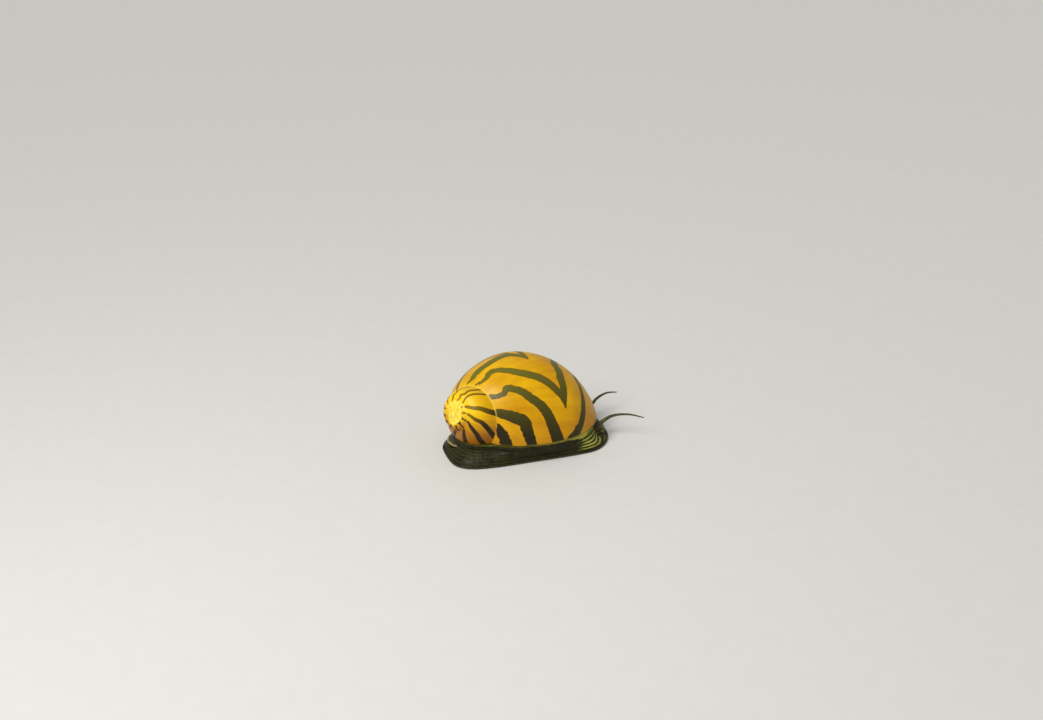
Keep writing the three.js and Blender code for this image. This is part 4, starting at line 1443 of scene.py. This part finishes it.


# %% [markdown]
# ## Shell
# The common name is glossy shell lime: aragonite, laid down by the mantle in thin layers under a thin
# horny skin. Nothing polishes it, it grows smooth, so it shines softly like glazed earthenware. It is
# amber, darker where growth was slow, and fine ridges and streaks follow the old lips. Towards the lip and
# low down on the older whorls the amber is darker, partly its own deeper amber and partly painted shade;
# near the tip and high up it is lighter, which is painted light. At the tip it is eaten down to chalk,
# which is pale yellow, pitted and dull, and a thin pale line follows the suture. High up that line is
# also a painted highlight, and it fades lower down, where shade falls.
#
# A ready noise in plain space would give marble, not growth. So the streaks are noise on the growth turn
# and the place round the outline, which follow the coil. The stripes are the distance to their strokes,
# moved by some noise and then cut by a narrow range, with a brown border where the pigment fades.

# %% What the shell's material reads
CLOUD_SIZE, GRAIN_SIZE, PIT_SIZE = 5.0, 0.25, 0.6        # in mm
LINES_PER_TURN = 260.0        # the real growth lines are finer, and wouldn't show
LINE_BREAKS = 1.6             # how soon a line changes along its length
SHELL_NOISES = [
    # name, on what, scale, detail, roughness
    ("lines", "growth", 1.0, 3.0, 0.6),
    ("wide_lines", "growth", 0.16, 2.0, 0.5),
    ("steps", "growth", 0.5, 2.0, 0.5),
    ("clouds", "spot", PER_MM / CLOUD_SIZE, 2.0, 0.5),
    ("grain", "spot", PER_MM / GRAIN_SIZE, 4.0, 0.5),
    ("pitted", "spot", PER_MM / PIT_SIZE, 5.0, 0.65),
]


def read_shell(material):
    at = {"spot": add(material, "TexCoord", {}, "Object")}
    for name in ("stripe", "turn", "place", "seam", "worn", "glaze", "painted_light", "deep_amber_and_shade"):
        at[name] = add(material, "Attribute", {}, "Fac", attribute_name=name)
    at["height"] = add(material, "SeparateXYZ", {0: at["spot"]}, 2)
    long_way = add(material, "Math", {0: at["turn"], 1: LINES_PER_TURN}, operation="MULTIPLY")
    short_way = add(material, "Math", {0: at["place"], 1: LINE_BREAKS}, operation="MULTIPLY")
    at["growth"] = add(material, "CombineXYZ", {0: long_way, 1: short_way})
    for name, source, scale, detail, roughness in SHELL_NOISES:
        inputs = {"Vector": at[source], "Scale": scale, "Detail": detail, "Roughness": roughness}
        at[name] = add(material, "TexNoise", inputs)
    return at


# %% Where each colour of the shell lies
SHELL_SHARES = [
    # name, what it reads, from, to, and the result at both ends
    ("cloudy", "clouds", 0.35, 0.68, 0, 1),
    ("streaked", "wide_lines", 0.42, 0.75, 0, 0.45),
    ("lined", "lines", 0.5, 0.8, 0, 0.35),
    # painted shade: the amber is darkened towards the lip, partly also the shell's own deeper amber
    ("low", "height", 9.0 * MM, LIP_HEIGHT * MM, 0, 0.45),
    ("at_lip", "height", (LIP_HEIGHT + 0.32) * MM, (LIP_HEIGHT + 0.1) * MM, 0, 0.6),
    # painted shade low down on the older whorls, partly also their own deeper amber
    ("shade_and_amber_darkened", "deep_amber_and_shade", 0, 1, 0, 0.75),
    # painted light near the tip and high up
    ("lightened_top", "painted_light", 0, 1, 0, 0.75),
    ("halo", "worn", 0, 1, 0, 0.9),
    ("glazed", "glaze", 0, 1, 0, 0.7),
    ("newer", "turn", -0.2, 0.02, 0, 1),
    ("young", "turn", -0.7, -0.4, 1, 0),
    ("grown", "turn", -0.75, -0.45, 0.3, 1),
    ("step_size", "place", 0.4, 1.3, 0.5, 0.22),
    # the pale suture line is strongest high up: partly its own pale colour, partly a painted highlight that
    # fades lower down, where shade falls
    ("lit_seam_height", "height", 7.5 * MM, 9.0 * MM, 0.05, 0.8),
    ("seam_kept", "cloudy", 0.1, 0.6, 0.35, 1),
    ("chalk_white", "pitted", 0.36, 0.6, 0, 1),
    ("beside_seam", "seam", 0.1, 0.3, 0, 1),
    ("gloss", "lines", 0.3, 0.8, 0.3, 0.42),
]
SHELL_EDGES = [
    # name, what it reads, from, to
    ("border", "stripe_edge", 0.09, 0.0),
    ("striped", "stripe_edge", 0.02, -0.05),
    ("on_seam", "seam_edge", 0.31, 0.17),
    ("chalky", "torn_edge", 0.72, 0.84),
]


def place_shell_colours(material, at):
    for name, source, start, end, low, high in SHELL_SHARES:
        at[name] = add(material, "MapRange", {0: at[source], 1: start, 2: end, 3: low, 4: high})
    jagged = add(material, "Math", {0: at["step_size"], 1: at["grown"]}, operation="MULTIPLY")
    steps = add(material, "Math", {0: at["steps"], 1: 0.5}, operation="SUBTRACT")
    for name, wobble, amount, edge in (
        ("stripe_edge", steps, jagged, "stripe"),
        ("seam_edge", at["clouds"], 0.16, "seam"),
        ("torn_edge", at["pitted"], 0.5, "worn"),
    ):
        at[name] = add(material, "Math", {0: wobble, 1: amount, 2: at[edge]}, operation="MULTIPLY_ADD")
    for name, source, start, end in SHELL_EDGES:
        inputs = {0: at[source], 1: start, 2: end}
        at[name] = add(material, "MapRange", inputs, interpolation_type="SMOOTHSTEP")
    # the suture line fades lower down, so that high up it also stands as a painted highlight
    for weaker in ("lit_seam_height", "seam_kept"):
        at["on_seam"] = add(material, "Math", {0: at["on_seam"], 1: at[weaker]}, operation="MULTIPLY")


# %% Nerite shell, glossy lime with a worn chalky tip
SHELL_COLOURS = [
    # name, by which share, from which colour, to which
    ("grown_black", "newer", "6a651b", "261f05"),
    # the young stripes are painted lighter near the tip and high up: painted light
    ("young_brown", "painted_light", "2c1f09", "86700f"),
    ("black", "young", "grown_black", "young_brown"),
    ("chalk", "chalk_white", "d9b22c", "f1de54"),
    ("shell", "cloudy", "dfaa00", "c88e00"),
    ("shell", "streaked", "shell", "ae7000"),
    ("shell", "lined", "shell", "ebc21a"),
    # darker towards the lip: painted shade, partly also the shell's own deeper amber
    ("shell", "low", "shell", "b06c04"),
    # painted shade low down on the older whorls, partly also their own deeper amber
    ("shell", "shade_and_amber_darkened", "shell", "935009"),
    # painted light near the tip and high up
    ("shell", "lightened_top", "shell", "f5cd18"),
    ("shell", "halo", "shell", "f0cc24"),
    ("shell", "border", "shell", "7c4503"),
    ("shell", "striped", "shell", "black"),
    ("shell", "glazed", "shell", "dfba58"),
    # pale suture line: partly its own colour, partly a painted highlight high up
    ("shell", "on_seam", "shell", "f2dc5a"),
    ("shell", "chalky", "shell", "chalk"),
    ("shell", "at_lip", "shell", "a89a30"),
]


def make_shell_material():
    # Lime under a thin horny skin: clear soft highlights, which the chalk of the worn tip breaks up.
    material, shader = new_material("nerite_shell_glossy_lime")
    at = read_shell(material)
    place_shell_colours(material, at)
    for name, share, *tints in SHELL_COLOURS:
        low, high = (at[tint] if tint in at else linear(tint) for tint in tints)
        inputs = {0: at[share], FIRST: low, SECOND: high}
        at[name] = add(material, "Mix", inputs, BLENDED, data_type="RGBA")
    duller = add(material, "Math", {0: at["chalky"], 1: 0.35, 2: at["gloss"]}, operation="MULTIPLY_ADD")
    plain = add(material, "Math", {0: at["glaze"], 1: at["worn"]}, operation="ADD")
    ridged = add(material, "Math", {0: at["beside_seam"], 1: plain}, operation="SUBTRACT", use_clamp=True)
    ridges = add(material, "Math", {0: at["lines"], 1: ridged}, operation="MULTIPLY")
    pits = add(material, "Math", {0: at["pitted"], 1: at["chalky"]}, operation="MULTIPLY")
    relief = {}
    for height, rise, strength in ((ridges, 0.03, 0.7), (at["grain"], 0.012, 0.5), (pits, 0.12, 0.8)):
        inputs = {"Height": height, "Distance": rise * MM, "Strength": strength, **relief}
        relief = {"Normal": add(material, "Bump", inputs)}
    feed(shader, {"Base Color": at["shell"], "Roughness": duller, **relief})
    feed(shader, {"IOR": 1.53, "Specular IOR Level": 0.18})
    return material


paint(shell, make_shell_material())

# %% [markdown]
# ## Skin
# The common name is wet skin: living muscle under a thin film of slime. It is dark olive with small paler
# flecks, grained like fine leather, and the slime gives it small soft highlights. Pale lines run along the
# side of the foot. They are faint at the rear, and turn into bold pale bands at the front. The spread
# margin of the sole and the mantle edge under the lip are paler.
#
# The kept numbers run on and on across the skin, so a ping-pong node folds each into waves, and a narrow
# range cuts the waves into lines. Subsurface scattering would suit skin, but on skin this dark it only
# costs time.

# %% What the skin's material reads, and where its colours lie
PATCH_SIZE, FLECK_SIZE, LEATHER_SIZE = 1.3, 0.3, 0.22        # in mm
SKIN_SHARES = [
    # name, what it reads, from, to, and the result at both ends
    ("patched", "patches", 0.35, 0.7, 0, 1),
    ("flecked", "flecks", 0.58, 0.75, 0, 0.5),
    ("ragged", "flecks", 0.3, 0.7, -0.09, 0.09),
    ("line_share", "bold", 0, 1, 0.025, 0.95),
    ("stroke_share", "faint", 0, 1, 0, 0.2),
    ("at_collar", "collar", 0, 1, 0, 0.9),
    ("sole_edge", "flecks", 0.3, 0.7, 0.15, 0.4),
    ("at_snout", "snout", 0, 1, 0, 0.4),
    ("on_feeler", "feeler", 0, 1, 0, 0.8),
    ("slime", "patches", 0.3, 0.7, 0.42, 0.6),
]


def read_skin(material):
    at = {}
    for name in ("line", "bold", "stroke", "faint", "snout", "collar", "margin", "feeler"):
        at[name] = add(material, "Attribute", {}, "Fac", attribute_name=name)
    spot = add(material, "TexCoord", {}, "Object")
    for name, size in (("patches", PATCH_SIZE), ("flecks", FLECK_SIZE)):
        at[name] = add(material, "TexNoise", {"Vector": spot, "Scale": PER_MM / size, "Detail": 3.0})
    grained = {"Vector": spot, "Scale": PER_MM / LEATHER_SIZE}
    at["leather"] = add(material, "TexVoronoi", grained, "Distance")
    for name, source, start, end, low, high in SKIN_SHARES:
        at[name] = add(material, "MapRange", {0: at[source], 1: start, 2: end, 3: low, 4: high})
    for lines in ("line", "stroke"):
        wave = add(material, "Math", {0: at[lines], 1: 0.5}, operation="PINGPONG")
        wave = add(material, "Math", {0: wave, 1: at["ragged"]}, operation="ADD")
        band = add(material, "MapRange", {0: wave, 1: 0.14, 2: 0.38}, interpolation_type="SMOOTHSTEP")
        at[lines] = add(material, "Math", {0: band, 1: at[lines + "_share"]}, operation="MULTIPLY")
    at["banded"] = add(material, "Math", {0: at["line"], 1: at["stroke"]}, operation="MAXIMUM")
    at["at_margin"] = add(material, "Math", {0: at["sole_edge"], 1: at["margin"]}, operation="MULTIPLY")
    return at


# %% Snail skin, wet dark muscle with pale lines
SKIN_COLOURS = [
    # name, by which share, from which colour, to which
    ("pale", "patched", "b9ba52", "98983c"),
    ("pale_edge", "flecked", "c6bd4c", "8f8532"),
    ("skin", "patched", "120f05", "27260a"),
    ("skin", "flecked", "skin", "46441a"),
    ("skin", "banded", "skin", "pale"),
    ("skin", "at_collar", "skin", "pale_edge"),
    ("skin", "at_margin", "skin", "6b6a30"),
    ("skin", "at_snout", "skin", "857f45"),
    ("skin", "on_feeler", "skin", "5b5a33"),
]


def make_skin_material():
    # Wet muscle: very dark, with a thin coat of slime that glints on every small bump.
    material, shader = new_material("snail_skin_wet_muscle")
    at = read_skin(material)
    for name, share, *tints in SKIN_COLOURS:
        low, high = (at[tint] if tint in at else linear(tint) for tint in tints)
        inputs = {0: at[share], FIRST: low, SECOND: high}
        at[name] = add(material, "Mix", inputs, BLENDED, data_type="RGBA")
    relief = {}
    for height, rise, strength in ((at["leather"], 0.06, 0.6), (at["flecks"], 0.03, 0.5)):
        inputs = {"Height": height, "Distance": rise * MM, "Strength": strength, **relief}
        relief = {"Normal": add(material, "Bump", inputs)}
    feed(shader, {"Base Color": at["skin"], "Roughness": at["slime"], "IOR": 1.38, **relief})
    feed(shader, {"Specular IOR Level": 0.2, "Coat Weight": 0.04, "Coat Roughness": 0.2})
    return material


paint(skin, make_skin_material())

# %% [markdown]
# ## Operculum
# The common name is bare lime, thickened layer by layer on the tail. It is dark olive-grey, dull as
# unglazed clay, with a fine arc for each stage of growth, and pale along its outermost arc, on the top of
# its rim.
#
# Rings could be drawn round the nucleus by a wave node, but they would be circles. The sine of the kept
# arc number gives D-shaped rings, which match the ridges of the mesh.

# %% Operculum, dull lime with growth arcs
OPERCULUM_GRAIN = 0.5        # in mm
OPERCULUM_PALE_FROM = OPERCULUM_BOTTOM + 0.34
OPERCULUM_PALE_TO = OPERCULUM_BOTTOM + 0.42


def make_operculum_material():
    # Bare lime, rubbed dull in use: a weak broad shine that the arcs cut into fine lines.
    material, shader = new_material("operculum_dull_lime")
    spot = add(material, "TexCoord", {}, "Object")
    height = add(material, "SeparateXYZ", {0: spot}, 2)
    arc = add(material, "Attribute", {}, "Fac", attribute_name="arc")
    grain = add(material, "TexNoise", {"Vector": spot, "Scale": PER_MM / OPERCULUM_GRAIN, "Detail": 4.0})
    ragged = add(material, "Math", {0: grain, 1: 0.06, 2: arc}, operation="MULTIPLY_ADD")
    wave = add(material, "Math", {0: ragged, 1: ARC_COUNT * math.pi}, operation="MULTIPLY")
    wave = add(material, "Math", {0: wave}, operation="SINE")
    ringed = add(material, "MapRange", {0: wave, 1: -1.0, 2: 1.0})
    upper = add(material, "MapRange", {0: height, 1: OPERCULUM_PALE_FROM * MM, 2: OPERCULUM_PALE_TO * MM})
    edge = add(material, "MapRange", {0: ragged, 1: 0.98, 2: 1.0})
    edge = add(material, "Math", {0: edge, 1: upper}, operation="MULTIPLY")
    colour = linear("2f2c1c")
    for share, tint in ((ringed, "4d4630"), (edge, "978d52")):
        inputs = {0: share, FIRST: colour, SECOND: linear(tint)}
        colour = add(material, "Mix", inputs, BLENDED, data_type="RGBA")
    bump = add(material, "Bump", {"Height": ringed, "Distance": 0.01 * MM, "Strength": 0.6})
    feed(shader, {"Base Color": colour, "Normal": bump, "Roughness": 0.42})
    return material


paint(operculum, make_operculum_material())

# %% [markdown]
# ## Eyes
# The common name is a lens eye. Under a clear wet cornea lies a cup of black pigment, with a thin brown
# ring at its border. So the eye is the glossiest thing on the animal, almost black, with one sharp glint.
#
# A clear shell over a black ball would be truer, but at a quarter of a millimetre nobody could see through
# it. A full coat on one closed ball gives the same glint, and the kept ring number gives the border.

# %% Snail eye, black pigment under a clear cornea
PIGMENT_GRAIN = 0.1        # in mm


def make_eye_material():
    # Clear skin over black pigment: all the light that comes back is the glint of the coat.
    material, shader = new_material("snail_eye_clear_cornea")
    spot = add(material, "TexCoord", {}, "Object")
    grain = add(material, "TexNoise", {"Vector": spot, "Scale": PER_MM / PIGMENT_GRAIN, "Detail": 2.0})
    facing = add(material, "Attribute", {}, "Fac", attribute_name="facing")
    facing = add(material, "Math", {0: grain, 1: 0.12, 2: facing}, operation="MULTIPLY_ADD")
    rim = add(material, "MapRange", {0: facing, 1: 0.86, 2: 0.76}, interpolation_type="SMOOTHSTEP")
    tints = {FIRST: linear("050404"), SECOND: linear("2a2012")}
    colour = add(material, "Mix", {0: rim, **tints}, BLENDED, data_type="RGBA")
    feed(shader, {"Base Color": colour, "Roughness": 0.25, "Coat Weight": 1.0, "Coat Roughness": 0.03})
    return material


eye_material = make_eye_material()
for eye in eyes.values():
    paint(eye, eye_material)

# %% [markdown]
# ## Camera
# The camera stands where the photograph was taken from: on the snail's right, above it, and a little
# towards its tail. A constraint could aim it, but plain angles are easier to check against the photograph.
# The Standard view transform shows the hex colours as they are written; a filmic one greys the ambers.

# %% Camera at the photograph's view
CAMERA_PLACE = Vector((-62.41, -191.32, 108.05))
CAMERA_AZIMUTH = math.radians(-18)
CAMERA_ELEVATION = math.radians(24.876)
CAMERA_NEAR = 5.0
VIEW_ANGLE = math.radians(40)
SENSOR_WIDTH = 36.0


def add_camera():
    data = bpy.data.cameras.new("camera")
    data.sensor_width = SENSOR_WIDTH
    data.lens = SENSOR_WIDTH / (2 * math.tan(VIEW_ANGLE / 2))
    data.clip_start = CAMERA_NEAR * MM
    camera = bpy.data.objects.new("camera", data)
    bpy.context.collection.objects.link(camera)
    camera.location = CAMERA_PLACE * MM
    camera.rotation_euler = (math.pi / 2 - CAMERA_ELEVATION, 0, CAMERA_AZIMUTH)
    bpy.context.scene.camera = camera
    return camera


print("lens:", round(add_camera().data.lens, 1), "mm")
bpy.context.scene.view_settings.view_transform = "Standard"
bpy.context.view_layer.update()

# %% [markdown]
# ## Light
# Soft light shows a glossy shell best, because hard light gives it small burnt highlights. A wide sun from
# over the camera's left shoulder models the whorls, a softbox on the left lays a soft highlight on them,
# and a pale sky fills the shadows under the flank. The softbox alone would leave the foot black.

# %% Sun, softbox and sky
SUN_STRENGTH = 1.9
SUN_WIDTH = math.radians(30)
SUN_AIM = (90, 60, -150)
SOFTBOX_STRENGTH = 0.1
SOFTBOX_SIZE = 80
SOFTBOX_PLACE = (-110, -70, 130)
SOFTBOX_AIM = (0, 0, 5)
SKY_STRENGTH = 0.38


def add_light(name, kind, strength, place, aim):
    """Adds a light at its place in mm, turned to what it aims at."""
    data = bpy.data.lights.new(name, kind)
    data.energy = strength
    light = bpy.data.objects.new(name, data)
    bpy.context.collection.objects.link(light)
    light.location = Vector(place) * MM
    light.rotation_euler = (Vector(aim) - Vector(place)).to_track_quat("-Z", "Y").to_euler()
    return data


sun = add_light("soft_sun", "SUN", SUN_STRENGTH, (0, 0, 0), SUN_AIM)
sun.angle = SUN_WIDTH
softbox = add_light("softbox", "AREA", SOFTBOX_STRENGTH, SOFTBOX_PLACE, SOFTBOX_AIM)
softbox.size = SOFTBOX_SIZE * MM
world = bpy.data.worlds.new("studio")
bpy.context.scene.world = world
world.use_nodes = True
feed(world.node_tree.nodes["Background"], {"Color": (1, 1, 1, 1), "Strength": SKY_STRENGTH})
print("lights:", [light.name for light in (sun, softbox)], "and the sky")

# %% [markdown]
# ## Floor
# The snail needs ground to cast its shadow on, but the ground is no part of it. A wide sheet of pale card
# is a neutral ground. Pressed paper is matt, with a faint grain.

# %% Floor, smooth pale card
FLOOR_SIZE = 20        # in metres, so that no edge is in view
CARD_GRAIN = 3.0       # in mm; the real fibres are finer, and wouldn't show

deselect_all()
bpy.ops.mesh.primitive_plane_add(size=FLOOR_SIZE)
floor = named("floor")


def make_floor_material():
    # Pressed paper: matt and even, so that the shadow is the only thing to see on it.
    material, shader = new_material("floor_pale_card")
    spot = add(material, "TexCoord", {}, "Object")
    grain = add(material, "TexNoise", {"Vector": spot, "Scale": PER_MM / CARD_GRAIN, "Detail": 3.0})
    tints = {FIRST: linear("d3d1cb"), SECOND: linear("d8d6d0")}
    colour = add(material, "Mix", {0: grain, **tints}, BLENDED, data_type="RGBA")
    feed(shader, {"Base Color": colour, "Roughness": 0.7})
    return material


paint(floor, make_floor_material())
